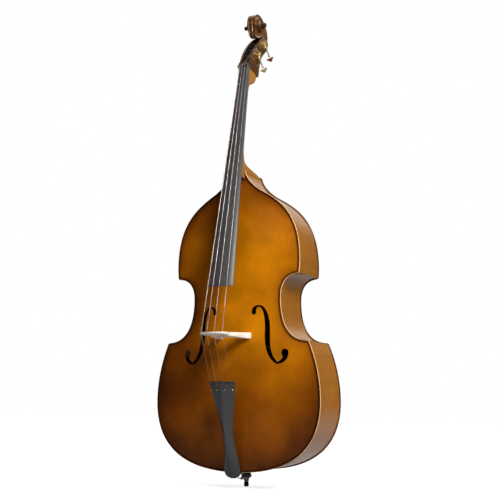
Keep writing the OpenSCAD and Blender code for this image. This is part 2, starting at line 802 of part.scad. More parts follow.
module endpin_collar() {
  color(steel) stand() at_endpin() difference() {
    union() {
      translate([0, 0, collar_bottom]) cylinder(h = 11, r1 = 8, r2 = 11);
      translate([0, 0, collar_bottom + 11]) cylinder(h = plug_bottom - collar_bottom - 11, r = 11);
      translate([0, 0, plug_bottom - 1]) cylinder(h = 13, r = 9);
    }
    translate([0, 0, collar_bottom - 1]) cylinder(h = 60, r = rod_r + 0.05);
    translate([-20, 0, screw_z]) rotate([0, 90, 0]) cylinder(h = 20, r = shaft_r + 0.05);
  }
}

module endpin_rod() {
  color(steel) stand() at_endpin() translate([0, 0, -body_lift + 8]) {
    cylinder(h = rod_length - 2, r = rod_r);
    translate([0, 0, rod_length - 2]) cylinder(h = 2, r1 = rod_r, r2 = rod_r - 1.5);
  }
}

module endpin_tip() {
  color([0.05, 0.05, 0.05]) stand() at_endpin() translate([0, 0, -body_lift]) difference() {
    union() {
      cylinder(h = 4, r1 = 6, r2 = 9);
      translate([0, 0, 4]) cylinder(h = 6, r = 9);
      translate([0, 0, 10]) cylinder(h = 7, r1 = 9, r2 = 7.6);
    }
    translate([0, 0, 8]) cylinder(h = 20, r = rod_r);
  }
}

module thumb_screw() {
  color(steel) stand() at_endpin() translate([0, 0, screw_z]) {
    translate([-wing_x, 0, 0]) rotate([0, 90, 0]) cylinder(h = wing_x - rod_r - 0.4, r = shaft_r);
    translate([-wing_x - 13, 0, -2]) linear_extrude(4) {
      translate([6.5, 4]) circle(r = 5.5);
      translate([6.5, -4]) circle(r = 5.5);
      translate([1, -4]) square([12, 8]);
    }
  }
}

// ---- everything ------------------------------------------------------------

SIDES = [["left", -1], ["right", 1]];
STRINGS = ["e", "a", "d", "g"];

top_plate();
back_plate();
for (s = SIDES) {
  upper_rib(s[1]);
  middle_rib(s[1]);
  lower_rib(s[1]);
  upper_corner_block(s[1]);
  lower_corner_block(s[1]);
}
neck_block();
tail_block();
linings();
bass_bar();
sound_post();
neck();
fingerboard();
nut();
saddle();
bridge();
tailpiece();
tail_cord();
endpin_plug();
endpin_collar();
endpin_rod();
endpin_tip();
thumb_screw();
for (i = [0 : 3]) {
  string(i);
  tuner_plate(TUNERS[i]);
  worm_shaft(TUNERS[i]);
  key_button(TUNERS[i]);
  worm_wheel(TUNERS[i]);
  roller(TUNERS[i]);
  wheel_screw(TUNERS[i]);
}
plate_screws();
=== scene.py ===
"""A three-quarter double bass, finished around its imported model.

Shapes are worked out in millimetres from the body's datum, as the part's own source does:
x from the centre line, y back from the front plate's edge, z up from the body's lowest edge.
place() turns them into the row frame, in metres.
"""

import math

import bmesh
import bpy
import numpy as np
from mathutils import Matrix, Vector
from mathutils.geometry import delaunay_2d_cdt


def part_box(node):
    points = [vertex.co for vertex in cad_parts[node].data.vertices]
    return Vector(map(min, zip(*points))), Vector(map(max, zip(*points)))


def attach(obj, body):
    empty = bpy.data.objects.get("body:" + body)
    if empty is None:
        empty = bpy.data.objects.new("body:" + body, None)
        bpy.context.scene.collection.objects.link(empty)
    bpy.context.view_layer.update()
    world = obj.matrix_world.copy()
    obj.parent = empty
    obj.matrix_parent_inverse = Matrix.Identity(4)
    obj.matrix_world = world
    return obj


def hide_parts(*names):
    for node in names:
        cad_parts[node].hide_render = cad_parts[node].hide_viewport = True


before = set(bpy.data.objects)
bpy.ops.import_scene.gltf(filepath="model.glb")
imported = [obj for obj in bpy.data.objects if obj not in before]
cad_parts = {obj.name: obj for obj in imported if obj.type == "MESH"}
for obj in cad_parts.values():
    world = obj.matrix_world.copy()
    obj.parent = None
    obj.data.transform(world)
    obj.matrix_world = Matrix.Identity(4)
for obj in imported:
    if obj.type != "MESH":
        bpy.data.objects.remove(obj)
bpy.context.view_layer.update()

MM = 0.001
ROOT = "instrument"
STRINGS = ["e", "a", "d", "g"]
STRING_PLACES = (-1, -1 / 3, 1 / 3, 1)

# ---- driving sizes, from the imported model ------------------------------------

PLATE_T = 5
RIB_T = 2.2
OVERHANG = 4
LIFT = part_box("lower_rib_left")[0].z / MM - OVERHANG
ENDPIN_Y = PLATE_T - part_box("lower_rib_left")[0].y / MM
BODY_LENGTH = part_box("upper_rib_right")[1].z / MM - LIFT
LOWER_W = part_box("back_plate")[1].x / MM
WAIST_W = 181
UPPER_W = 257
TAIL_DEPTH = 200
CORNER_DEPTH = 186
NECK_DEPTH = 148
CORNER_Z = 709
FRONT_ARCH = 23
BACK_ARCH = 20
BRIDGE_Z = 487
STRING_HEIGHT = 191
BRIDGE_SPREAD = 42.4
NUT_SPREAD = 16.5
NUT_Z = 1545
NUT_Y = 38
BOARD_END_Z = 659
BOARD_T = 9
NOTCH_Z = 1085
HEEL_HALF = 26
PEGBOX_HALF = 25.5


def place(points):
    """Datum millimetres to the row frame, in metres."""
    return (np.asarray(points, float).reshape(-1, 3) + [0, -ENDPIN_Y, LIFT]) * MM


# ---- curves -------------------------------------------------------------------


def bezier(p, t):
    """A cubic curve's points at the parameters t."""
    p, t = np.asarray(p, float), np.asarray(t, float)[:, None]
    return (1 - t) ** 3 * p[0] + 3 * (1 - t) ** 2 * t * p[1] + 3 * (1 - t) * t**2 * p[2] + t**3 * p[3]


def resample(points, step=None, count=None):
    """The same line with its points spaced evenly."""
    points = np.asarray(points, float)
    run = np.concatenate([[0], np.cumsum(np.linalg.norm(np.diff(points, axis=0), axis=1))])
    count = count or max(2, int(round(run[-1] / step)) + 1)
    at = np.linspace(0, run[-1], count)
    return np.stack([np.interp(at, run, points[:, k]) for k in range(points.shape[1])], 1)


def path(curves, step=None, count=None):
    """Curves that follow each other as one evenly spaced line."""
    fine = [bezier(c, np.linspace(0, 1, 240)) for c in curves]
    return resample(np.concatenate([fine[0]] + [f[1:] for f in fine[1:]]), step, count)


def spline(keys, at):
    """A smooth curve through key rows, whose first column is the parameter."""
    keys = np.asarray(keys, float)
    x, y = keys[:, 0], keys[:, 1:]
    slope = np.gradient(y, x, axis=0)
    at = np.clip(np.asarray(at, float), x[0], x[-1])
    i = np.clip(np.searchsorted(x, at, side="right") - 1, 0, len(x) - 2)
    h = (x[i + 1] - x[i])[:, None]
    t = (at - x[i])[:, None] / h
    return (
        (1 + 2 * t) * (1 - t) ** 2 * y[i]
        + t * (1 - t) ** 2 * h * slope[i]
        + t * t * (3 - 2 * t) * y[i + 1]
        + t * t * (t - 1) * h * slope[i + 1]
    )


def smoothstep(v, lo, hi):
    """0 at lo, 1 at hi, and eased between them."""
    t = np.clip((np.asarray(v, float) - lo) / (hi - lo), 0, 1)
    return t * t * (3 - 2 * t)


def circle_of(count):
    """Angles spaced evenly round a circle."""
    return np.linspace(0, 2 * math.pi, count, endpoint=False)


def anticlockwise(loop):
    """The loop, reversed if it runs clockwise."""
    area = np.sum(loop[:, 0] * np.roll(loop[:, 1], -1) - np.roll(loop[:, 0], -1) * loop[:, 1])
    return loop[::-1] if area < 0 else loop


def flipped(points):
    """Points mirrored over the centre line."""
    return np.asarray(points) * [-1, 1]


def turned(v):
    """Left-hand normals of directions in a plane."""
    return np.stack([-v[:, 1], v[:, 0]], 1)


def inset(loop, d):
    """A closed loop moved to its left by d, with mitred corners."""
    ahead = np.roll(loop, -1, 0) - loop
    ahead /= np.linalg.norm(ahead, axis=1)[:, None]
    n1, n0 = turned(ahead), turned(np.roll(ahead, 1, 0))
    n = n0 + n1
    n /= np.linalg.norm(n, axis=1)[:, None]
    mitre = np.clip(1 / np.maximum((n * n1).sum(1), 1e-6), 1, 2)
    return loop + n * (d * mitre)[:, None]


def distance(points, loop):
    """How far points are from a closed loop's line."""
    a, b = loop, np.roll(loop, -1, 0)
    ab = b - a
    best = np.full(len(points), 1e9)
    for p0, d in zip(a, ab):
        t = np.clip(((points - p0) @ d) / max(d @ d, 1e-12), 0, 1)
        best = np.minimum(best, ((points - p0 - t[:, None] * d) ** 2).sum(1))
    return np.sqrt(best)


def within(points, loop):
    """Which points a closed loop holds."""
    inside = np.zeros(len(points), bool)
    x, y = points[:, 0], points[:, 1]
    for (x0, y0), (x1, y1) in zip(loop, np.roll(loop, -1, 0)):
        if y0 != y1:
            crosses = (y0 > y) != (y1 > y)
            inside ^= crosses & (x < (x1 - x0) * (y - y0) / (y1 - y0) + x0)
    return inside


# ---- meshes -------------------------------------------------------------------


def add_object(name, data):
    o = bpy.data.objects.new(name, data)
    bpy.context.scene.collection.objects.link(o)
    return o


def face_outwards(mesh):
    bm = bmesh.new()
    bm.from_mesh(mesh)
    bmesh.ops.recalc_face_normals(bm, faces=bm.faces)
    bm.to_mesh(mesh)
    bm.free()


def piece(name, verts, faces, material, nodes=(), body=ROOT, slot=None, sharp=40, values=None, weld=0):
    """A finished mesh in the row frame that rides on a body and stands for CAD nodes."""
    mesh = bpy.data.meshes.new(name)
    mesh.from_pydata(place(verts).tolist(), [], [tuple(int(i) for i in f) for f in faces])
    for key, value in (values or {}).items():
        mesh.attributes.new(key, "FLOAT", "POINT").data.foreach_set("value", np.asarray(value, np.float32))
    if weld:
        bm = bmesh.new()
        bm.from_mesh(mesh)
        bmesh.ops.remove_doubles(bm, verts=bm.verts, dist=weld * MM)
        bmesh.ops.dissolve_degenerate(bm, edges=bm.edges, dist=1e-7)
        bm.to_mesh(mesh)
        bm.free()
    mesh.validate()
    face_outwards(mesh)
    mesh.shade_smooth()
    mesh.set_sharp_from_angle(angle=math.radians(sharp))
    mesh.materials.append(material)
    o = add_object(name, mesh)
    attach(o, body)
    if nodes:
        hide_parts(*nodes)
    return o


def skin(rows, round_=True, caps=True):
    """Faces over rows of points, each row a ring of the same length."""
    rows = np.asarray(rows, float)
    k, m = rows.shape[:2]
    faces = []
    last = m if round_ else m - 1
    for i in range(k - 1):
        for j in range(last):
            faces.append((i * m + j, i * m + (j + 1) % m, (i + 1) * m + (j + 1) % m, (i + 1) * m + j))
    if caps:
        faces.append(tuple(range(m))[::-1])
        faces.append(tuple((k - 1) * m + j for j in range(m)))
    return rows.reshape(-1, 3), faces


def joined(*parts):
    """Several lists of points and faces as one."""
    verts, faces, n = [], [], 0
    for v, f in parts:
        verts.append(np.asarray(v, float))
        faces += [tuple(i + n for i in face) for face in f]
        n += len(v)
    return np.concatenate(verts), faces


def tube(points, radius, sides=16, ref=(1, 0, 0), caps=True):
    """A round tube along a line. radius is one number or one for each point."""
    points = np.asarray(points, float)
    radius = np.broadcast_to(np.asarray(radius, float), len(points))
    ahead = np.gradient(points, axis=0)
    ahead /= np.linalg.norm(ahead, axis=1)[:, None]
    u = np.array(ref, float)
    rows = []
    for p, t, r in zip(points, ahead, radius):
        u = u - (u @ t) * t
        u /= np.linalg.norm(u)
        v = np.cross(t, u)
        a = circle_of(sides)[:, None]
        rows.append(p + r * (np.cos(a) * u + np.sin(a) * v))
    return skin(rows, caps=caps)


def axes_of(axis):
    """Two directions across an axis, and the axis."""
    axis = Vector(axis).normalized()
    u = axis.orthogonal().normalized()
    return np.array(u), np.array(axis.cross(u)), np.array(axis)


def lathe(profile, centre, axis=(0, 0, 1), sides=48):
    """A solid turned about an axis, from a profile of radius and height. It is closed on the axis."""
    u, v, w = axes_of(axis)
    a = circle_of(sides)[:, None]
    rows = [np.asarray(centre, float) + h * w + r * (np.cos(a) * u + np.sin(a) * v) for r, h in profile]
    return skin(rows)


def rounded(profile, radius, steps=3):
    """A profile with its inner corners rounded off."""
    profile = [np.asarray(p, float) for p in profile]
    made = [profile[0]]
    for a, b, c in zip(profile, profile[1:], profile[2:]):
        d0, d1 = a - b, c - b
        l0, l1 = np.linalg.norm(d0), np.linalg.norm(d1)
        r = min(radius, l0 * 0.45, l1 * 0.45)
        p0, p1 = b + d0 / l0 * r, b + d1 / l1 * r
        for t in np.linspace(0, 1, steps + 1):
            made.append((1 - t) ** 2 * p0 + 2 * t * (1 - t) * b + t * t * p1)
    made.append(profile[-1])
    return made


def level(height):
    """A flat face for a slab."""
    return lambda p, d: np.full(len(p), float(height))


def slab(outline, holes, cell, edge, low, high, near=(), steps=6, soft=0.6):
    """A plate between two surfaces over a flat outline, with holes and a rounded outer edge.

    low and high give the third coordinate at points and their distances from the outline.
    It returns points as first, second and third coordinate, faces and distances from the edge.
    """
    outline = np.asarray(outline, float)
    inner = inset(outline, edge)
    free = []
    for d in near:
        ring = inset(outline, d)
        free.append(ring[(distance(ring, outline) > 0.93 * d) & within(ring, outline)])
    lo, hi = outline.min(0), outline.max(0)
    gx, gy = np.meshgrid(np.arange(lo[0], hi[0], cell), np.arange(lo[1], hi[1], cell))
    grid = np.stack([gx.ravel(), gy.ravel()], 1)
    grid = grid[within(grid, inner)]
    clear = (max(near) if near else edge) + 0.55 * cell
    grid = grid[distance(grid, outline) > clear]
    free = np.concatenate(free + [grid]) if free else grid
    for h in holes:
        keep = ~within(free, h) & (distance(free, h) > 0.4 * min(cell, 6))
        free = free[keep]
    coords, edges = [inner], []
    start = 0
    for loop in [inner, *holes]:
        n = len(loop)
        edges += [(start + i, start + (i + 1) % n) for i in range(n)]
        if loop is not inner:
            coords.append(np.asarray(loop, float))
        start += n
    coords = np.concatenate(coords + [free])
    made = delaunay_2d_cdt([Vector(c) for c in coords], edges, [], 0, 1e-6)
    flat = np.array([tuple(v) for v in made[0]])
    index = {}
    for i, origins in enumerate(made[3]):
        for o in origins:
            index[o] = i
    faces = np.array(made[2])
    middle = flat[faces].mean(1)
    keep = within(middle, inner)
    for h in holes:
        keep &= ~within(middle, h)
    faces = faces[keep]
    used = np.unique(faces)
    renumber = -np.ones(len(flat), int)
    renumber[used] = np.arange(len(used))
    faces, flat = renumber[faces], flat[used]
    ring = [int(renumber[index[i]]) for i in range(len(inner))]
    d = distance(flat, outline)
    d[ring] = edge
    n = len(flat)
    top = np.column_stack([flat, high(flat, d)])
    bottom = np.column_stack([flat, low(flat, d)])
    verts = [top, bottom]
    dist = [d, d]
    out = [tuple(f) for f in faces] + [tuple(f[::-1] + n) for f in faces]
    count = {}
    for f in faces:
        for a, b in zip(f, np.roll(f, -1)):
            count[(a, b)] = count.get((a, b), 0) + 1
    on_ring = set(zip(ring, ring[1:] + ring[:1]))
    for a, b in count:
        if (b, a) not in count and (a, b) not in on_ring and (b, a) not in on_ring:
            out.append((b, a, a + n, b + n))
    rows = [ring]
    base = 2 * n
    for k in range(1, steps):
        phi = math.pi * k / steps
        share = math.sin(phi) ** soft
        spot = inner + (outline - inner) * share
        t = (1 - math.cos(phi)) / 2
        third = top[ring, 2] * (1 - t) + bottom[ring, 2] * t
        verts.append(np.column_stack([spot, third]))
        dist.append(np.full(len(ring), edge * (1 - share)))
        rows.append([base + i for i in range(len(ring))])
        base += len(ring)
    rows.append([r + n for r in ring])
    m = len(ring)
    for r0, r1 in zip(rows, rows[1:]):
        out += [(r0[i], r1[i], r1[(i + 1) % m], r0[(i + 1) % m]) for i in range(m)]
    return np.concatenate(verts), out, np.concatenate(dist)


# ---- materials ------------------------------------------------------------------


class Nodes:
    """A node tree, with short ways to add and join nodes."""

    def __init__(self, tree):
        self.tree = tree

    def add(self, kind, inputs=None, out=0, **settings):
        node = self.tree.nodes.new(kind)
        for key, value in settings.items():
            setattr(node, key, value)
        for key, value in (inputs or {}).items():
            self.join(value, node.inputs[key])
        return node.outputs[out]

    def join(self, value, socket):
        if isinstance(value, bpy.types.NodeSocket):
            self.tree.links.new(value, socket)
        else:
            socket.default_value = value

    def spot(self, scale=(1, 1, 1), turn=(0, 0, 0), shift=(0, 0, 0)):
        """Places on the piece itself, stretched."""
        where = self.add("ShaderNodeTexCoord", out="Object")
        return self.add("ShaderNodeMapping", {"Vector": where, "Scale": scale, "Rotation": turn, "Location": shift})

    def noise(self, scale, detail=4, rough=0.5, twist=0, where=None):
        return self.add(
            "ShaderNodeTexNoise",
            {
                "Vector": where or self.spot(),
                "Scale": scale,
                "Detail": detail,
                "Roughness": rough,
                "Distortion": twist,
            },
        )

    def math(self, what, a, b=0.0, c=None, clamp=False):
        inputs = {0: a, 1: b}
        if c is not None:
            inputs[2] = c
        return self.add("ShaderNodeMath", inputs, operation=what, use_clamp=clamp)

    def spread(self, v, lo, hi, to_lo=0.0, to_hi=1.0):
        inputs = {"Value": v, "From Min": lo, "From Max": hi, "To Min": to_lo, "To Max": to_hi}
        return self.add("ShaderNodeMapRange", inputs, interpolation_type="SMOOTHSTEP")

    def ramp(self, v, stops):
        node = self.tree.nodes.new("ShaderNodeValToRGB")
        self.join(v, node.inputs["Fac"])
        ramp = node.color_ramp
        while len(ramp.elements) < len(stops):
            ramp.elements.new(0.5)
        for e, (at, colour) in zip(ramp.elements, stops):
            e.position = at
            e.color = (*colour, 1)
        return node.outputs["Color"]

    def blend(self, fac, a, b):
        """A number between a and b."""
        return self.add("ShaderNodeMix", {0: fac, 2: a, 3: b})

    def seen_by(self, ray):
        """1 for one kind of ray, 0 for the others."""
        return self.add("ShaderNodeLightPath", out=f"Is {ray} Ray")

    def mix(self, f, a, b, how="MIX"):
        node = self.tree.nodes.new("ShaderNodeMix")
        node.data_type = "RGBA"
        node.blend_type = how
        self.join(f, node.inputs["Factor"])
        for key, value in (("A", a), ("B", b)):
            socket = next(s for s in node.inputs if s.name == key and s.type == "RGBA")
            self.join((*value, 1) if isinstance(value, tuple) and len(value) == 3 else value, socket)
        return next(s for s in node.outputs if s.type == "RGBA")

    def value(self, name):
        return self.add("ShaderNodeAttribute", attribute_name=name, out="Fac")

    def bump(self, height, depth, strength=1.0):
        return self.add("ShaderNodeBump", {"Height": height, "Distance": depth, "Strength": strength})


class Look(Nodes):
    """A piece's material."""

    def __init__(self, name, **sockets):
        self.material = bpy.data.materials.new(name)
        self.material.use_nodes = True
        super().__init__(self.material.node_tree)
        self.shader = self.tree.nodes["Principled BSDF"]
        self.set(**sockets)

    def set(self, **sockets):
        for key, value in sockets.items():
            self.join(value, self.shader.inputs[key.replace("_", " ")])


def spruce_front():
    """Amber varnish on straight-grained spruce, shaded to dark brown at the edge, with painted shade on the left and
    low in the middle, and a painted highlight on the very edge.
    """
    look = Look("amber_spruce", Coat_Weight=0.14, Coat_Roughness=0.12, Coat_IOR=1.5, Specular_IOR_Level=0.08)
    grain = look.noise(26, 6, 0.62, 0.2, look.spot((26, 1, 0.9)))
    cloud = look.noise(8, 4, 0.5, 0.5)
    broad = look.noise(4.2, 3, 0.5, 0.6, look.spot(shift=(3, 1, 2)))
    wobble = look.math("MULTIPLY_ADD", cloud, 0.44, -0.22)
    # The attribute read here holds the sunburst and the painted shade on the left and low in the middle.
    shade = look.math("ADD", look.value("burst"), wobble, clamp=True)
    colour = look.ramp(
        shade,
        [
            (0.0, (0.74, 0.240, 0.0010)),
            (0.3, (0.50, 0.142, 0.0010)),
            (0.58, (0.27, 0.066, 0.0010)),
            (0.82, (0.12, 0.028, 0.002)),
            (1.0, (0.050, 0.013, 0.002)),
        ],
    )
    streak = look.spread(grain, 0.32, 0.7, 0.91, 1.06)
    blotch = look.spread(broad, 0.3, 0.72, 0.70, 1.12)
    light = look.math("MULTIPLY", streak, blotch)
    grey = look.add("ShaderNodeCombineColor", {0: light, 1: light, 2: light})
    colour = look.mix(1.0, colour, grey, "MULTIPLY")
    rim = look.value("rim")
    dark = look.math("MULTIPLY", look.spread(rim, 2.0, 3.6), look.spread(rim, 13, 6.5))
    colour = look.mix(look.math("MULTIPLY", dark, 0.75), colour, (0.022, 0.006, 0.002))
    # The very edge is painted pale orange: partly worn varnish, partly a painted highlight where the edge catches the
    # light.
    pale_edge_wear_and_highlight = look.spread(rim, 2.3, 0.9)
    worn = look.spread(look.noise(30, 3), 0.3, 0.65, 0.75, 1.0)
    colour = look.mix(look.math("MULTIPLY", pale_edge_wear_and_highlight, worn), colour, (0.93, 0.60, 0.28))
    look.set(Base_Color=colour, Roughness=look.spread(cloud, 0.3, 0.7, 0.38, 0.50))
    look.set(Normal=look.bump(grain, 0.00012, 0.3))
    return look.material


def maple(
    name,
    pale,
    dark,
    flame_turn=(0, 0, 0),
    flame=0.25,
    gloss=1.0,
    coat_rough=0.08,
    rim=False,
    scale=1.0,
    cheek=0,
    stain=False,
):
    """Varnished maple with fine pores and soft flames across the grain."""
    look = Look(name, Coat_Weight=gloss, Coat_Roughness=coat_rough, Coat_IOR=1.5, Specular_IOR_Level=0.15)
    pores = look.noise(34 * scale, 5, 0.6, 0.1, look.spot((9, 9, 0.8), flame_turn))
    curl = look.noise(7.5 * scale, 3, 0.55, 0.5, look.spot((0.35, 0.35, 4.4), flame_turn))
    cloud = look.noise(3.2, 3, 0.5, 0.4)
    mixed = look.math("ADD", look.spread(curl, 0.36, 0.66, 0, flame), look.spread(pores, 0.3, 0.7, 0, 0.22))
    mixed = look.math("ADD", mixed, look.spread(cloud, 0.3, 0.7, 0, 0.40))
    colour = look.mix(mixed, pale, dark)
    if cheek:
        # The sides of the head are painted darker: partly darker varnish, partly painted shade, as the sides get less
        # light than the front.
        across = look.add("ShaderNodeSeparateXYZ", {0: look.add("ShaderNodeTexCoord", out="Object")}, out="X")
        out = look.spread(look.math("ABSOLUTE", across), (cheek - 8) * MM, (cheek - 1) * MM, 0, 0.62)
        colour = look.mix(out, colour, (0.016, 0.006, 0.003))
        # The well inside the pegbox is painted near-black: a blackened inside together with painted shade in the
        # recess.
        colour = look.mix(look.value("well"), colour, (0.010, 0.007, 0.009))
        look.set(Coat_Weight=look.math("MULTIPLY_ADD", look.value("well"), -gloss, gloss))
    if stain:
        colour = look.mix(look.value("stain"), colour, (0.10, 0.034, 0.007))
    if rim:
        r = look.value("rim")
        edge = look.math("MULTIPLY", look.spread(r, 2.0, 3.6), look.spread(r, 15, 8.5))
        colour = look.mix(look.math("MULTIPLY", edge, 0.6), colour, (0.03, 0.008, 0.003))
        colour = look.mix(look.spread(r, 2.4, 1.0), colour, (0.022, 0.008, 0.004))
    look.set(Base_Color=colour, Roughness=look.spread(pores, 0.3, 0.7, 0.30, 0.44))
    look.set(Normal=look.bump(pores, 0.0001, 0.3))
    return look.material


def bare_wood(name, pale, dark, rough=0.6, along=(9, 9, 0.8)):
    look = Look(name, Specular_IOR_Level=0.35)
    grain = look.noise(40, 5, 0.62, 0.3, look.spot(along))
    fleck = look.noise(160, 3, 0.6, 0.0, look.spot((1, 1, 0.35)))
    mixed = look.math("ADD", look.spread(grain, 0.3, 0.7, 0, 0.7), look.spread(fleck, 0.5, 0.75, 0, 0.3))
    look.set(Base_Color=look.mix(mixed, pale, dark), Roughness=look.spread(grain, 0.3, 0.7, rough - 0.08, rough + 0.06))
    look.set(Normal=look.bump(grain, 0.00015, 0.35))
    return look.material


def black_wood(name, pale, dark, rough, coat=0.0, rubbed=False):
    """Ebonised hardwood: fine long grain and satin, with a painted highlight in paler grey where a piece carries one.
    """
    look = Look(name, Coat_Weight=coat, Coat_Roughness=0.2, Specular_IOR_Level=0.5)
    grain = look.noise(60, 6, 0.65, 0.2, look.spot((8, 8, 0.5)))
    rub = look.noise(5, 3, 0.5, 0.4, look.spot((1, 1, 0.4)))
    colour = look.mix(look.spread(grain, 0.3, 0.72), dark, pale)
    if rubbed:
        # A painted highlight: paler grey where the piece asks for it.
        colour = look.mix(look.value("rubbed"), colour, (0.245, 0.250, 0.215))
    wear = look.spread(rub, 0.35, 0.7, rough - 0.07, rough + 0.1)
    look.set(Base_Color=colour, Roughness=wear, Normal=look.bump(grain, 0.0001, 0.4))
    return look.material


def metal(name, colour, worn, rough, streak=(1, 1, 1), grime=0.35):
    look = Look(name, Metallic=1.0)
    brushed = look.noise(420, 4, 0.6, 0.0, look.spot(streak))
    patina = look.noise(46, 4, 0.6, 0.5)
    tone = look.mix(look.spread(patina, 0.42, 0.68, 0, grime), colour, worn)
    rough_at = look.spread(brushed, 0.3, 0.7, rough, rough + 0.08)
    rough_at = look.math("ADD", rough_at, look.spread(patina, 0.4, 0.7, 0, 0.12))
    look.set(Base_Color=tone, Roughness=rough_at, Normal=look.bump(brushed, 0.00004, 0.3))
    return look.material


def rubber():
    look = Look("black_rubber", Specular_IOR_Level=0.35)
    grain = look.noise(500, 4, 0.6)
    dust = look.noise(60, 4, 0.6, 0.6)
    look.set(
        Base_Color=look.mix(look.spread(dust, 0.45, 0.75, 0, 0.5), (0.012, 0.012, 0.012), (0.05, 0.048, 0.045)),
        Roughness=look.spread(grain, 0.3, 0.7, 0.62, 0.78),
        Normal=look.bump(grain, 0.0002, 0.5),
    )
    return look.material


def string_steel():
    """Flat-wound steel that carries the silk winding of the tail end below the bridge."""
    look = Look("string_steel")
    place_z = look.add("ShaderNodeSeparateXYZ", {0: look.add("ShaderNodeTexCoord", out="Object")}, out="Z")
    silk_top = (BRIDGE_Z + LIFT - 42) * MM
    silk = look.math("LESS_THAN", place_z, silk_top)
    wound = look.math("SINE", look.math("MULTIPLY", place_z, 9000))
    stain = look.noise(90, 3, 0.5, 0.2, look.spot((1, 1, 0.25)))
    bright = look.mix(look.spread(stain, 0.35, 0.7), (0.62, 0.53, 0.49), (0.42, 0.34, 0.31))
    thread = look.mix(look.spread(stain, 0.35, 0.7), (0.30, 0.16, 0.075), (0.13, 0.065, 0.035))
    look.set(
        Base_Color=look.mix(silk, bright, thread),
        Metallic=look.math("SUBTRACT", 1.0, silk),
        Roughness=look.math("MULTIPLY_ADD", silk, 0.35, 0.30),
        Normal=look.bump(wound, 0.00006, 0.5),
    )
    return look.material


def cord_black():
    look = Look("tail_cord_black", Specular_IOR_Level=0.4)
    weave = look.noise(700, 3, 0.5, 1.0, look.spot((1, 1, 0.4)))
    look.set(
        Base_Color=look.mix(look.spread(weave, 0.35, 0.7), (0.010, 0.010, 0.011), (0.05, 0.05, 0.052)),
        Roughness=look.spread(weave, 0.3, 0.7, 0.45, 0.65),
        Normal=look.bump(weave, 0.0002, 0.6),
    )
    return look.material


FRONT = spruce_front()
BACK = maple(
    "varnished_maple_back",
    (0.26, 0.075, 0.010),
    (0.09, 0.022, 0.004),
    flame_turn=(0, math.radians(90), 0),
    flame=0.3,
    gloss=0.9,
    rim=True,
)
RIBS = maple("varnished_maple_ribs", (0.49, 0.180, 0.007), (0.22, 0.072, 0.003), flame=0.15, coat_rough=0.07)
HEAD = maple(
    "varnished_maple_head",
    (0.25, 0.092, 0.012),
    (0.032, 0.010, 0.003),
    flame=0.45,
    coat_rough=0.06,
    scale=2.0,
    cheek=PEGBOX_HALF,
)
HANDLE = maple(
    "satin_maple_neck",
    (0.46, 0.21, 0.040),
    (0.28, 0.105, 0.016),
    gloss=0.3,
    coat_rough=0.22,
    scale=1.6,
    stain=True,
)
SPRUCE = bare_wood("bare_spruce", (0.72, 0.53, 0.30), (0.50, 0.32, 0.15), 0.68)
BRIDGE_MAPLE = bare_wood("bare_maple", (0.98, 0.95, 0.86), (0.90, 0.81, 0.64), 0.5, (1.0, 8, 9))
BOARD_BLACK = black_wood("fingerboard_black", (0.105, 0.108, 0.111), (0.050, 0.052, 0.056), 0.46, rubbed=True)
TAIL_BLACK = black_wood("tailpiece_black", (0.058, 0.059, 0.063), (0.034, 0.035, 0.038), 0.38, 0.2)
EBONY = black_wood("ebony_black", (0.022, 0.020, 0.019), (0.006, 0.006, 0.006), 0.25, 0.5)
BRASS = metal("tuner_brass", (1.0, 0.84, 0.48), (0.36, 0.24, 0.09), 0.27, grime=0.8)
PLATE_BRASS = metal("tuner_plate_brass", (0.66, 0.47, 0.20), (0.15, 0.085, 0.03), 0.30, grime=0.9)
BRONZE = metal("key_bronze", (0.34, 0.11, 0.05), (0.12, 0.04, 0.02), 0.22, grime=0.7)
CHROME = metal("chromed_steel", (0.82, 0.82, 0.83), (0.50, 0.50, 0.48), 0.07, grime=0.25)
RUBBER = rubber()
STEEL = string_steel()
CORD = cord_black()

# ---- the body's outline ----------------------------------------------------------

LOWER_CORNER = (LOWER_W - 45, 468)
UPPER_CORNER = (UPPER_W - 3.5, CORNER_Z)
SHOULDER = (105, 1027)
ROOT_END = (32, BODY_LENGTH)
LOWER = [
    [(0, 0), (173, 0), (LOWER_W, 53), (LOWER_W, 257)],
    [(LOWER_W, 257), (LOWER_W, 352), (LOWER_CORNER[0] + 17, 427), LOWER_CORNER],
]
MIDDLE = [
    [LOWER_CORNER, (LOWER_CORNER[0] - 91, 468), (WAIST_W, 552), (WAIST_W, 625)],
    [(WAIST_W, 625), (WAIST_W, 673), (WAIST_W + 18, 708), UPPER_CORNER],
]
UPPER = [
    [UPPER_CORNER, (UPPER_W - 1, 734), (UPPER_W, 745), (UPPER_W, 762)],
    [(UPPER_W, 762), (UPPER_W, 920), (189, 978), SHOULDER],
    [SHOULDER, (77, 1043), (34, 1080), ROOT_END],
]
STEP = 5
lower_line, middle_line, upper_line = path(LOWER, STEP), path(MIDDLE, STEP), path(UPPER, STEP)


def blunt(before, after, width=4.5):
    """A corner's two end points, cut off square."""
    tip = before[-1]
    a, b = before[-2] - tip, after[1] - tip
    return [tip + a / np.linalg.norm(a) * width, tip + b / np.linalg.norm(b) * width]


half_line = np.concatenate(
    [
        lower_line[:-1],
        blunt(lower_line, middle_line),
        middle_line[1:-1],
        blunt(middle_line, upper_line),
        upper_line[1:],
    ]
)


def back_edge(z):
    depths = [TAIL_DEPTH, CORNER_DEPTH, NECK_DEPTH, NECK_DEPTH - 3.8]
    return np.interp(z, [0, CORNER_Z, BODY_LENGTH, BODY_LENGTH + 40], depths)


def body_loop(top):
    """The whole outline, anticlockwise from the tail, closed over the points given at the neck."""
    return np.concatenate([half_line, top, flipped(half_line)[::-1][:-1]])


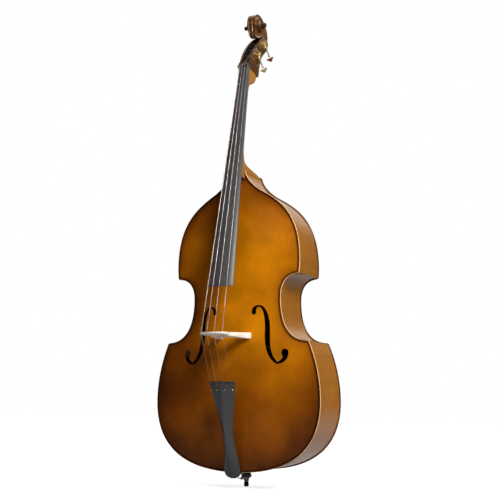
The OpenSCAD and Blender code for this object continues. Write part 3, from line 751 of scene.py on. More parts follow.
notch = HEEL_HALF + 0.3
front_loop = body_loop(np.array([(notch, BODY_LENGTH), (notch, NOTCH_Z), (-notch, NOTCH_Z), (-notch, BODY_LENGTH)]))
half_turn = np.linspace(0.12, math.pi - 0.12, 13)
button = np.array([(30.5 * math.cos(a), BODY_LENGTH + 1 + 9 * math.sin(a)) for a in half_turn])
back_loop = body_loop(button)
plain_loop = body_loop(np.array([(0, BODY_LENGTH)]))


def membrane(loop, cell, rounds=700):
    """A soap film over the outline, as a grid of heights, each row's middle being one."""
    lo, hi = loop.min(0) - cell, loop.max(0) + cell
    film, size = None, cell * 4
    while size >= cell:
        xs, zs = np.arange(lo[0], hi[0] + size, size), np.arange(lo[1], hi[1] + size, size)
        gx, gz = np.meshgrid(xs, zs)
        spots = np.stack([gx.ravel(), gz.ravel()], 1)
        open_ = within(spots, loop).reshape(gx.shape).astype(float)
        if film is None:
            film = open_ * 1e3
        else:
            film = grid_at(old, spots).reshape(gx.shape) * open_
        for _ in range(rounds):
            pad = np.pad(film, 1)
            film = (pad[2:, 1:-1] + pad[:-2, 1:-1] + pad[1:-1, 2:] + pad[1:-1, :-2] + size * size) / 4 * open_
        old = (xs, zs, film)
        size /= 2
    crest = np.maximum(film.max(1), 1e-6)
    ratio = np.clip(film / crest[:, None], 0, 1)
    return xs, zs, ratio


def grid_at(grid, points):
    """A grid's value between its points."""
    xs, zs, film = grid
    fx = np.clip((points[:, 0] - xs[0]) / (xs[1] - xs[0]), 0, len(xs) - 1.001)
    fz = np.clip((points[:, 1] - zs[0]) / (zs[1] - zs[0]), 0, len(zs) - 1.001)
    i, j = fx.astype(int), fz.astype(int)
    a, b = fx - i, fz - j
    return (
        film[j, i] * (1 - a) * (1 - b)
        + film[j, i + 1] * a * (1 - b)
        + film[j + 1, i] * (1 - a) * b
        + film[j + 1, i + 1] * a * b
    )


film = membrane(plain_loop, 6)
# The film is read through a soft filter, so its stepped rim leaves no ripple in the arch.
soft = film[2]
for _ in range(14):
    pad = np.pad(soft, 1, mode="edge")
    soft = (4 * soft + pad[2:, 1:-1] + pad[:-2, 1:-1] + pad[1:-1, 2:] + pad[1:-1, :-2]) / 8
film = (film[0], film[1], soft)


def arch(points, d):
    """The plates' arch as a share of its height: a long arch, a full cross arch and a hollow by the edge."""
    z = points[:, 1]
    long_ = 1 - np.abs(2 * z / BODY_LENGTH - 1) ** 2.6
    cross = np.clip(grid_at(film, points), 0, 1) ** 1.5
    return np.clip(long_, 0, 1) * cross * (1 - np.exp(-((d / 26) ** 2)))


def channel(d):
    """The shallow groove along the plates' edge, in millimetres."""
    return 1.1 * np.exp(-(((d - 12) / 6) ** 2))


def front_y(points, d):
    return channel(d) - FRONT_ARCH * arch(points, d)


def back_y(points, d):
    return back_edge(points[:, 1]) - channel(d) + BACK_ARCH * arch(points, d)


def swap(v):
    """First, second and third coordinate of a flat slab, stood up as x, z and y."""
    return v[:, [0, 2, 1]]


def varnish_and_painted_shade_at(v, d):
    """How dark the front is painted: the varnish's sunburst from the honey middle to the brown edge, plus painted shade
    on the left side and low in the middle.
    """
    x, z = v[:, 0], v[:, 2]
    reach = 22 + 70 * smoothstep(z, 420, 20) + 16 * smoothstep(z, 900, 1080)
    edge = 0.37 * np.exp(-((d / reach) ** 1.25))
    # Darker towards the bottom and near the neck: the bottom is partly sunburst and partly painted shade; the top is
    # sunburst.
    low = 0.44 * smoothstep(z, 560, 170) + 0.42 * smoothstep(z, 800, 1050)
    above = 0.05 + 0.95 * smoothstep(z, 180, 480)
    # The even darkening on both sides is sunburst; the extra darkening on the left is painted shade for the
    # fingerboard's and bridge's shadow.
    side = 0.08 * smoothstep(np.abs(x), 60, 300) + 0.24 * smoothstep(-x, 0, 170) * above
    # Partly painted shade, low in the middle beside the tailpiece.
    low = low + 0.15 * np.exp(-(((x - 20) / 120) ** 2)) * smoothstep(z, 390, 240) * smoothstep(z, 40, 150)
    # More painted shade on the left waist, for the shadow of the fingerboard's end and the bridge.
    side = side + 0.16 * smoothstep(-x, 20, 150) * smoothstep(z, 720, 560) * smoothstep(z, 180, 330)
    return np.clip(edge + low + side, 0, 1)


F_HALF = 11
UPPER_EYE, UPPER_EYE_R = (81, 573), 10
LOWER_EYE, LOWER_EYE_R = (201.7, 424.6), 14.2


def f_hole_loops(side):
    """One sound hole: a broad stem, and at each end a comma that hooks round into an eye."""
    stem = path(
        [
            [(100, 595.5), (121, 592), (133, 553), (133.3, 516)],
            [(133.3, 516), (133.5, 470), (135, 436), (151, 411)],
            [(151, 411), (158, 400), (167, 390), (177, 386.5)],
        ],
        4,
    )
    n = len(stem) - 1
    ahead = np.gradient(stem, axis=0)
    normal = turned(ahead / np.linalg.norm(ahead, axis=1)[:, None])
    half = F_HALF * (0.22 + 0.78 * np.sin(np.pi * np.arange(n + 1) / n) ** 0.6)[:, None]
    leaf = np.concatenate([stem + half * normal, (stem - half * normal)[::-1]])
    circle = circle_of(28)
    round_ = np.stack([np.cos(circle), np.sin(circle)], 1)
    upper_hook = np.concatenate(
        [
            path([[(71.2, 574), (72, 590), (88, 598.5), (103, 598)]], 4),
            path([[(103, 592.5), (95, 591), (89, 584), (90.5, 576)]], 4),
        ]
    )
    lower_hook = np.concatenate(
        [
            path([[(215.6, 420.5), (215, 404), (198, 384), (172, 385.2)]], 4),
            path([[(172, 391), (185, 394.5), (192, 404), (194, 413.5)]], 4),
        ]
    )
    nick = np.array([(119.5, 487), (125, 485.5), (141, 483), (147.5, 483.8), (141, 486.5), (125, 489.5)])
    eyes = [UPPER_EYE + UPPER_EYE_R * round_, LOWER_EYE + LOWER_EYE_R * round_]
    loops = [leaf, *eyes, upper_hook, lower_hook, nick]
    return [flipped(loop)[::-1] if side < 0 else loop for loop in loops]


def make_plates():
    holes = f_hole_loops(1) + f_hole_loops(-1)
    near = (5, 7.5, 10, 13, 17, 22)
    v, f, d = slab(front_loop, holes, 7, 2.5, lambda p, d: front_y(p, d) + PLATE_T, front_y, near)
    v = swap(v)
    # The front's darkening: its sunburst, with painted shade on the left and low in the middle.
    values = {"rim": d, "burst": varnish_and_painted_shade_at(v, d)}
    piece("front_plate", v, f, FRONT, ["top_plate"], slot="front_varnish", sharp=50, values=values)
    v, f, d = slab(back_loop, [], 9, 2.5, lambda p, d: back_y(p, d) - PLATE_T, back_y, near)
    piece("back_plate_arched", swap(v), f, BACK, ["back_plate"], slot="back_varnish", sharp=50, values={"rim": d})


# ---- ribs ----------------------------------------------------------------------

UPPER_MITRE = (-0.93, 1)
LOWER_MITRE = (-0.67, -1)


def line_normals(line, first, last):
    ahead = np.gradient(line, axis=0)
    n = turned(ahead / np.linalg.norm(ahead, axis=1)[:, None])
    n[0], n[-1] = first, last
    return n


def rib(line, first, last, side):
    n = line_normals(line, first, last)
    outer, inner = line + OVERHANG * n, line + (OVERHANG + RIB_T) * n
    rows = []
    for (xo, zo), (xi, zi) in zip(outer, inner):
        yo, yi = back_edge(zo) - PLATE_T + 0.4, back_edge(zi) - PLATE_T + 0.4
        front = PLATE_T - 0.4
        rows.append([(side * xo, front, zo), (side * xo, yo, zo), (side * xi, yi, zi), (side * xi, front, zi)])
    return skin(rows)


def make_ribs():
    for name, side in (("left", -1), ("right", 1)):
        ends = {
            "lower": (lower_line, (0, 1), LOWER_MITRE),
            "middle": (middle_line, LOWER_MITRE, UPPER_MITRE),
            "upper": (upper_line, UPPER_MITRE, (-1, 0)),
        }
        for which, (line, first, last) in ends.items():
            v, f = rib(line, first, last, side)
            piece(f"{which}_rib_bent_{name}", v, f, RIBS, [f"{which}_rib_{name}"], slot="rib_varnish", sharp=45)


# ---- neck, pegbox and scroll ------------------------------------------------------

BOARD_SLOPE = 0.179
BOARD_R = 75
NUT_HALF = 22
BOARD_END_HALF = 48.3
SADDLE_HALF = 31.8


def board_edge(z):
    return NUT_Y - BOARD_SLOPE * (NUT_Z - np.asarray(z, float))


def board_half(z):
    return NUT_HALF + (BOARD_END_HALF - NUT_HALF) * (NUT_Z - z) / (NUT_Z - BOARD_END_Z)


def crown(x, half):
    return (half * half - x * x) / (2 * BOARD_R)


def make_neck():
    # place on the front, back of the section as y and z, half width, how round the back is
    keys = [
        (0, 1085, 144, 1085, 26, 0.30),
        (1, 1098, 143.4, 1104, 26, 0.30),
        (2, 1108, 141.5, 1116, 26, 0.34),
        (3, 1114, 135, 1121.5, 26, 0.38),
        (4, 1121, 118, 1125, 26, 0.44),
        (5, 1130, 80, 1131, 26, 0.55),
        (6, 1140, 42, 1138, 26, 0.75),
        (7, 1150, 23, 1148, 25.8, 0.92),
        (8, 1166, 15.5, 1166, 25.5, 1),
        (9, 1210, 20.5, 1210, 24.8, 1),
        (10, 1300, 34, 1300, 23.6, 1),
        (11, 1390, 48, 1390, 22.5, 1),
        (12, 1458, 58.5, 1458, 21.8, 1),
        (13, 1478, 68, 1476, 21.6, 1),
        (14, 1490, 88, 1487, 21.6, 0.98),
        (15, 1502, 108, 1499, 21.8, 0.92),
        (16, 1516, 118.5, 1513, 22, 0.88),
        (17, 1530, 119.5, 1526, 22, 0.86),
        (18, 1545, 118, 1540, 22, 0.86),
    ]
    at = np.linspace(0, 18, 145)
    table = spline(keys, at)
    angles = np.radians(np.linspace(6, 174, 25))
    c, s = np.cos(angles), np.sin(angles)
    rows = []
    for fz, by, bz, w, k in table:
        slim = smoothstep(fz, 1150, 1230) * smoothstep(fz, 1500, 1440)
        w = w - 1.8 * slim
        front = np.array([0, board_edge(min(fz, NUT_Z)) + BOARD_T, fz])
        back = np.array([0, by, bz])
        across = w * np.sign(c) * np.abs(c) ** k
        deep = (1 - k / 2 + k / 2 * s) * (1 - slim) + s * slim
        ring = [front + np.array([-w, 0, 0]), front + np.array([w, 0, 0])]
        ring += [front + (back - front) * u + np.array([x, 0, 0]) for x, u in zip(across, deep)]
        rows.append(ring)
    verts, faces = skin(rows)
    # The head's dark stain runs a little way down past the nut and ends on a slant.
    stain = smoothstep(verts[:, 2] - np.interp(verts[:, 1], [41, 118], [1540, 1524]), 0, 3)
    piece("neck_handle", verts, faces, HANDLE, slot="neck_maple", sharp=50, values={"stain": stain})
    # The part of the neck that is let into the body.
    rows = []
    for z in (1050, NOTCH_Z + 8):
        rows.append([(x, y, z) for x, y in ((-18, 12), (18, 12), (18, 120), (-18, 120))])
    piece("neck_tenon", *skin(rows), SPRUCE, slot="neck_maple", sharp=30)
    make_head()


def flutes(s, depth):
    """Two hollows side by side with a ridge between them."""
    return depth * np.sin(np.pi * np.abs(s)) ** 2


SCROLL_EYE = (133, 1750)
THROAT_HALF = 20
HEAD_STEPS = 60


def make_head():
    front = path([[(42.5, 1541), (46, 1595), (92, 1660), (165, 1715)]], count=HEAD_STEPS + 1)
    back = path(
        [[(118, 1527), (124, 1560), (130, 1592), (144, 1616)], [(144, 1616), (154, 1634), (204, 1664), (204, 1714)]],
        count=HEAD_STEPS + 1,
    )
    front = np.concatenate([front, [(170, 1719), (174, 1724)]])
    back = np.concatenate([back, [(203.6, 1719), (202.5, 1726)]])
    t = np.arange(len(front)) / HEAD_STEPS
    half = PEGBOX_HALF + (THROAT_HALF - PEGBOX_HALF) * smoothstep(t, 0.82, 1.0)
    hollow = 0.76 * smoothstep(t, 0.06, 0.105) * smoothstep(t, 0.955, 0.87)
    rows = []
    for i, (f, b) in enumerate(zip(front, back)):
        w, length = half[i], np.linalg.norm(b - f)
        well = min(16, w - 5.5)
        mm = 1 / length
        flute = 4.2 * smoothstep(t[i], 0.02, 0.22)
        ring = [(w, 1.4 * mm)]
        ring += [(w, u) for u in np.linspace(0.12, 0.88, 5)]
        ring += [(w, 1 - 4 * mm), (w - 1.2, 1 - 1.2 * mm)]
        ring += [(x * (w - 2.4), 1 - flutes(x, flute) * mm) for x in np.linspace(1, -1, 21)]
        ring += [(-w + 1.2, 1 - 1.2 * mm), (-w, 1 - 4 * mm)]
        ring += [(-w, u) for u in np.linspace(0.88, 0.12, 5)]
        ring += [(-w, 1.4 * mm), (-w + 1.4, 0), (-well - 1.2, 0)]
        deep = max(hollow[i], 1.3 * mm)
        ring += [(-well, 1.2 * mm), (-well, deep * 0.5), (-well + 0.5, deep * 0.93), (-well + 4, deep)]
        ring += [(well - 4, deep), (well - 0.5, deep * 0.93), (well, deep * 0.5), (well, 1.2 * mm)]
        ring += [(well + 1.2, 0), (w - 1.4, 0)]
        rows.append([(x, f[0] + (b[0] - f[0]) * u, f[1] + (b[1] - f[1]) * u) for x, u in ring])
    pegbox = skin(rows)
    turn = len(rows[0])
    # The faces of the well inside the pegbox; the head's material paints them near-black, partly as painted shade.
    well = np.array([turn - 10 <= i % turn < turn - 2 for i in range(len(pegbox[0]))], float)
    piece("pegbox", *pegbox, HEAD, ["neck"], slot="neck_maple", sharp=38, values={"well": well})
    v, f = scroll_mesh()
    piece("scroll", v, f, HEAD, slot="neck_maple", sharp=42, weld=0.02)


def scroll_mesh():
    # angle round the eye, radius of the ridge, its distance from the middle
    keys = [
        (-45, 80, 20),
        (-27, 79.5, 20),
        (-7, 70, 19.5),
        (9, 62.5, 19),
        (24, 56, 18.5),
        (48, 49.5, 17.5),
        (70, 48, 17),
        (100, 48, 16),
        (122, 47, 16),
        (158, 42, 17.5),
        (183, 39.5, 18),
        (214, 44.5, 15.5),
        (228, 51, 13.5),
        (240, 56.5, 12.5),
        (262, 51.5, 12.5),
        (287, 46, 14),
        (315, 43.5, 16),
        (350, 40, 18.5),
        (400, 35, 21),
        (450, 31, 23),
        (500, 28, 24.5),
        (560, 25, 26.5),
        (630, 20.5, 29),
        (690, 16, 32.5),
        (735, 12.5, 38),
        (775, 10, 43),
        (810, 8.8, 46.3),
    ]
    step = 6
    angles = np.arange(-42, 811, step)
    table = spline(keys, angles)
    at = {int(a): table[i] for i, a in enumerate(angles)}
    eye_r, eye_x = at[int(angles[-1])]

    def section(a):
        r0, x0 = at[a]
        r1, x1 = at.get(a + 360, (eye_r, eye_x))
        gap = max(r0 - r1, 0.01)
        land = min(1.6, gap * 0.2)
        pts = [(r0, x0), (r0 - land, x0)]
        foot = r1 + min(1.0, gap * 0.1)
        for s in (0.04, 0.15, 0.35, 0.6, 0.85, 1.0):
            rho = (r0 - land) + (foot - (r0 - land)) * s
            dip = min(3.2, gap * 0.16) * (1 - (1 - min(s / 0.35, 1)) ** 2)
            pts.append((rho, x0 - dip * (1 - 0.35 * s) + 0.12 * (x1 - x0) * s * s))
        pts += [(r1 + 0.35, x0 + 0.6 * (x1 - x0)), (r1 + 0.25, x1 - 0.9), (r1, x1)]
        return pts

    def spot(a, r, x):
        a = math.radians(a)
        return (x, SCROLL_EYE[0] + r * math.cos(a), SCROLL_EYE[1] + r * math.sin(a))

    parts = []
    for side in (1, -1):
        rows = [[spot(a, r, side * x) for r, x in section(int(a))] for a in angles]
        v, f = skin(rows, round_=False, caps=False)
        parts.append((v, f))
        ring = [spot(a, eye_r, side * eye_x) for a in range(450, 811, step) if a < 810]
        rows = [ring]
        for share, rise in ((0.8, 0.9), (0.45, 1.6), (0.04, 1.9)):
            rows.append([spot(a, eye_r * share, side * (eye_x + rise)) for a in range(450, 811, step) if a < 810])
        v, f = skin(rows, caps=False)
        last = len(v) - len(ring)
        f.append(tuple(range(last, last + len(ring))))
        parts.append((v, f))
    band = []
    first = int(angles[0])
    for a in angles[angles <= first + 360]:
        r, x = at[int(a)]
        depth = 4.2 * (1 - 0.6 * smoothstep(a, 250, 318))
        s = np.linspace(1, -1, 25)
        band.append([spot(a, r - flutes(q, depth), q * x) for q in s])
    parts.append(skin(band, round_=False, caps=False))
    # the cut where the scroll runs into the pegbox
    right = [spot(first, r, x) for r, x in section(first)]
    left = [(-x, y, z) for x, y, z in right]
    loop = band[0] + left[1:-1] + band[-1][::-1] + right[1:-1][::-1]
    parts.append((np.array(loop), [tuple(range(len(loop)))]))
    return joined(*parts)


# ---- fingerboard, nut and saddle ----------------------------------------------------


def make_board():
    xs = np.linspace(-1, 1, 33)
    rows = []
    ends = [(0, 1.2), (0.5, 0.4), (1.5, 0)]
    heights = [BOARD_END_Z + a for a, _ in ends] + list(np.linspace(BOARD_END_Z + 12, NUT_Z - 0.5, 40)) + [NUT_Z]
    cuts = [c for _, c in ends] + [0] * 41
    for z, cut in zip(heights, cuts):
        w, y = board_half(z), float(board_edge(z))
        scoop = 1.2 * math.sin(math.pi * (z - BOARD_END_Z) / (NUT_Z - BOARD_END_Z))
        ring = []
        for x in xs:
            lift = 0.8 * abs(x) ** 14 + cut * 0.6 + scoop * (1 - x * x)
            ring.append((x * (w - cut * 0.5), y - crown(x * w, w) + lift, z))
        under = y + BOARD_T
        ring += [(w - cut * 0.5, y + 2.4, z), (w - 0.4, under - 1, z), (w - 1.4, under, z)]
        hollow = 5.0 * smoothstep(z, NOTCH_Z + 50, NOTCH_Z + 10)
        ring += [(q * w, under - hollow * (1 - q * q), z) for q in (0.75, 0.4, 0, -0.4, -0.75)]
        ring += [(-w + 1.4, under, z), (-w + 0.4, under - 1, z), (-w + cut * 0.5, y + 2.4, z)]
        rows.append(ring)
    verts, faces = skin(rows)
    # A painted highlight, paler grey along the treble edge of the board's lower part, where the board would catch the
    # light.
    inside = board_half(verts[:, 2]) - verts[:, 0]
    low = smoothstep(verts[:, 2], 1150, 720)
    rubbed = smoothstep(inside, 13, 3) * low * (verts[:, 1] < board_edge(verts[:, 2]) + 2.6)
    shown = {"rubbed": rubbed * 0.8}
    slot = "fingerboard_black"
    piece("fingerboard_shaped", verts, faces, BOARD_BLACK, ["fingerboard"], slot=slot, sharp=50, values=shown)
    make_nut()
    make_saddle()


def make_nut():
    """The nut, with a groove for each string."""
    rows = []
    w = NUT_HALF
    slots = [NUT_SPREAD * q for q in STRING_PLACES]
    xs = np.linspace(-w, w, 89)
    for up, drop in ((0, 0.3), (0.6, 0), (3, 0.0), (6.5, 0.9), (8.4, 2.6), (9, 4.2)):
        z = NUT_Z + up
        ring = []
        for x in xs:
            groove = sum(1.0 * math.exp(-(((x - s) / 1.3) ** 2)) for s in slots)
            ring.append((x, NUT_Y - 2.6 - crown(x, w) + drop + groove + 1.4 * abs(x / w) ** 12, z))
        ring += [(w, NUT_Y + BOARD_T, z), (-w, NUT_Y + BOARD_T, z)]
        rows.append(ring)
    piece("nut_slotted", *skin(rows), EBONY, ["nut"], slot="ebony_black", sharp=45)


def make_saddle():
    profile = [(PLATE_T, 0), (PLATE_T, 11.8), (-2, 11.8), (-5.0, 8), (-5.0, 0), (-3.2, -2.8), (-1, -3.6), (2, -3.6)]
    profile = rounded(profile + [(2, 0), (PLATE_T, 0)], 1.4)[:-1]
    rows = []
    for x in np.linspace(-SADDLE_HALF, SADDLE_HALF, 15):
        ease = 1.2 * abs(x / SADDLE_HALF) ** 8
        rows.append([(x, y + ease * (y < 0), z) for y, z in profile])
    piece("saddle_rounded", *skin(rows), EBONY, ["saddle"], slot="ebony_black", sharp=45)


# ---- bridge ------------------------------------------------------------------------

BRIDGE_ROUND = 82
FOOT_X, FOOT_IN, CROWN_HALF = 74, 42, 49


def string_rise(x):
    return -STRING_HEIGHT + x * x / (2 * BRIDGE_ROUND) - 1


def make_bridge():
    under = np.array([(x, BRIDGE_Z) for x in (FOOT_IN, 58, FOOT_X)], float)
    foot = front_y(under, np.array([150.0, 140, 130]))
    lines = [
        np.array([(x, string_rise(x)) for x in np.linspace(0, CROWN_HALF, 15)]),
        bezier([(50, -176), (54, -150), (44, -140), (38, -126)], np.linspace(0, 1, 10)),
        bezier([(38, -124), (36, -112), (50, -104), (54, -92)], np.linspace(0, 1, 10)),
        bezier([(54, -90), (60, -74), (60, -60), (60, -54)], np.linspace(0, 1, 8)),
        bezier([(60, -52), (62, -40), (66, -36), (FOOT_X, foot[2] - 9)], np.linspace(0, 1, 8)),
        np.array([(FOOT_X, foot[2] - 0.2), (58, foot[1] - 0.2), (FOOT_IN, foot[0] - 0.2), (FOOT_IN, foot[0] - 9)]),
        bezier([(40, -34), (34, -52), (16, -66), (0, -66)], np.linspace(0, 1, 12)),
    ]
    half = np.concatenate(lines)
    loop = np.concatenate([half, flipped(half)[::-1][1:-1]])
    loop = anticlockwise(loop)
    circle = circle_of(24)
    heart = []
    for a in circle:
        r = 9.5 * (1 + 0.28 * math.cos(2 * a))
        heart.append((r * math.sin(a) * 0.62, -100 + r * math.cos(a)))
    holes = [np.array(heart)]
    for s in (-1, 1):
        eye = [(s * 23 + 8 * math.cos(a) * (1 + 0.35 * math.sin(a)), -112 + 8.5 * math.sin(a)) for a in circle]
        holes.append(np.array(eye))

    def thick(p):
        return np.interp(p[:, 1], [-STRING_HEIGHT, -30, 0], [3.0, 10.5, 11])

    low, high = lambda p, d: BRIDGE_Z - thick(p), lambda p, d: BRIDGE_Z + thick(p)
    v, f, _ = slab(loop, holes, 6, 0.9, low, high, steps=4, soft=0.5)
    piece("bridge_carved", v, f, BRIDGE_MAPLE, ["bridge"], slot="bare_maple", sharp=35)


# ---- tailpiece ----------------------------------------------------------------------

# height, then half width or ridge height
TAIL_WIDTHS = [(-19, 10), (-15, 20), (-8, 28), (3, 31.5), (14, 32), (40, 30), (70, 26.5)]
TAIL_WIDTHS += [(110, 22.5), (150, 22), (193, 28), (250, 39.5), (291, 49), (321, 54.5)]
TAIL_RIDGES = [(-19, 8), (11, 15), (82, 27), (187, 24), (256, 21), (321, 17)]


BAR_Z, BAR_HALF, BAR_RISE = 315.5, 54.0, 17.4


def tail_edge(z):
    """Where the tailpiece's long edges run."""
    return -12 - 0.28 * z


def bar_line(share):
    """The middle of the bar that the strings cross, by its place across the tailpiece."""
    fall = 1 - math.sqrt(share * share + 0.0016)
    return tail_edge(BAR_Z) - BAR_RISE * (fall + 0.10 * math.sin(math.pi * abs(share)))


def make_tailpiece():
    zs = np.concatenate([[-19, -18.2, -17, -15, -12, -8, -3, 3], np.linspace(10, 312, 56), [316, 319, 320.4, 321]])
    widths = spline(TAIL_WIDTHS, zs)[:, 0]
    ridges = spline(TAIL_RIDGES, zs)[:, 0]
    rows = []
    for z, w, h in zip(zs, widths, ridges):
        y = tail_edge(z)
        ease = 1.3 * smoothstep(z, 317, 321) + 1.5 * smoothstep(z, -16, -19)
        ring = []
        for s in np.linspace(-1, 1, 29):
            fall = 1 - math.sqrt(s * s + 0.0016) / math.sqrt(1.0016)
            swell = 0.10 * math.sin(math.pi * min(1, abs(s)))
            ring.append((s * (w - 0.5 * ease), y - h * (fall + swell) + ease, z))
        ring += [(w - 0.2, y + 1.2, z), (w - 0.5, y + 3.4, z), (w - 1.5, y + 4.2, z)]
        ring += [(q * w, y + 4.2 - 2.2 * (1 - q * q), z) for q in (0.7, 0.35, 0, -0.35, -0.7)]
        ring += [(-w + 1.5, y + 4.2, z), (-w + 0.5, y + 3.4, z), (-w + 0.2, y + 1.2, z)]
        rows.append(ring)
    tail = piece("tailpiece_carved", *skin(rows), TAIL_BLACK, ["tailpiece"], slot="tailpiece_black", sharp=45)
    cutters = []
    for share in STRING_PLACES:
        x = BRIDGE_SPREAD * share
        loop = []
        for a in np.radians(np.linspace(20, -200, 15)):
            loop.append((x + 4.2 * math.cos(a), 290 + 4.2 * math.sin(a)))
        loop += [(x - 1.6, 294), (x - 1.6, 308), (x - 0.9, 309.4), (x + 0.9, 309.4), (x + 1.6, 308), (x + 1.6, 294)]
        rows = [[(px, y, pz) for px, pz in loop] for y in (-140, -60)]
        cutters.append(skin(rows))
    cut_out(tail, joined(*cutters))
    # the raised bar that the strings cross
    rows = []
    for s in np.linspace(-0.97, 0.97, 41):
        x, y = s * BAR_HALF, bar_line(s) + 1.0
        rows.append([(x, y + 2.6 * math.cos(a), BAR_Z + 2.0 * math.sin(a)) for a in circle_of(16)])
    piece("tailpiece_bar", *skin(rows), EBONY, slot="tailpiece_black", sharp=50)


def cut_out(o, shape):
    """Takes a shape out of a piece."""
    v, f = shape
    mesh = bpy.data.meshes.new("cutter")
    mesh.from_pydata(place(v).tolist(), [], f)
    mesh.validate()
    face_outwards(mesh)
    cutter = add_object("cutter", mesh)
    modifier = o.modifiers.new("cut", "BOOLEAN")
    modifier.operation = "DIFFERENCE"
    modifier.solver = "EXACT"
    modifier.object = cutter
    made = bpy.data.meshes.new_from_object(o.evaluated_get(bpy.context.evaluated_depsgraph_get()))
    o.modifiers.clear()
    o.data = made
    o.data.shade_smooth()
    o.data.set_sharp_from_angle(angle=math.radians(45))
    bpy.data.objects.remove(cutter)


# ---- strings -------------------------------------------------------------------------

STRING_R = [1.3, 1.05, 0.9, 0.75]
ROLLER_X = [-8, -3, 3, 8]
BARREL_R = 6.5
TUNERS = [(-1, (76, 1568)), (-1, (133, 1649)), (1, (162.6, 1683)), (1, (104.6, 1616))]


def bend(points, radius=6, steps=5):
    """A line of straight stretches with its corners rounded."""
    return np.array(rounded([np.array(p, float) for p in points], radius, steps))


def make_strings():
    for i, name in enumerate(STRINGS):
        xb, xn, r = BRIDGE_SPREAD * STRING_PLACES[i], NUT_SPREAD * STRING_PLACES[i], STRING_R[i]
        ry, rz = TUNERS[i][1]
        y_nut = NUT_Y - 2.2 - crown(xn, NUT_HALF) - 0.4
        wrap = BARREL_R + r - 0.15
        start = np.array([y_nut + 1.8, NUT_Z + 8])
        gap = np.array([ry, rz]) - start
        far = np.linalg.norm(gap)
        turn = math.asin(wrap / far)
        lead = math.atan2(gap[1], gap[0]) + turn
        reach = math.sqrt(far * far - wrap * wrap)
        touch = start + reach * np.array([math.cos(lead), math.sin(lead)])
        bar_y = bar_line(xb / BAR_HALF) - 1.6 - r
        line = [
            (xb, bar_y + 16, 291),
            (xb, bar_y + 3.5, 306),
            (xb, bar_y, BAR_Z),
            (xb, string_rise(xb) + 0.3, BRIDGE_Z),
            (xn, y_nut, NUT_Z + 1.5),
            (xn, start[0], start[1]),
            (ROLLER_X[i], touch[0], touch[1]),
        ]
        line = bend(line, 3, 4)
        thin = np.where(line[:, 2] < BRIDGE_Z - 42, 0.88, 1.0) * r
        v, f = tube(line, thin, 12)
        piece(f"string_{name}_wound", v, f, STEEL, [f"string_{name}"], slot="string_steel", sharp=60)
        # the turns on the roller, which go round with it
        turns = 4.5
        angle0 = math.atan2(touch[1] - rz, touch[0] - ry)
        inward = 1 if ROLLER_X[i] < 0 else -1
        coil = []
        for k in range(int(turns * 20) + 1):
            a = angle0 - 2 * math.pi * k / 20
            x = ROLLER_X[i] + inward * (2 * r + 0.1) * k / 20
            coil.append((x, ry + wrap * math.cos(a), rz + wrap * math.sin(a)))
        v, f = tube(coil, r, 10)
        piece(f"string_{name}_turns", v, f, STEEL, body=f"drum_{name}", slot="string_steel", sharp=60)
        # the ball at the tail end
        ball = [(2.9 * math.sin(a), -2.9 * math.cos(a)) for a in np.linspace(0.15, math.pi - 0.15, 12)]
        v, f = lathe(ball, (xb, bar_y + 8.5, 290.5), (1, 0, 0), 20)
        piece(f"string_{name}_ball", v, f, BRASS if i < 2 else CHROME, slot="string_steel", sharp=60)


# ---- tail cord and endpin ---------------------------------------------------------------


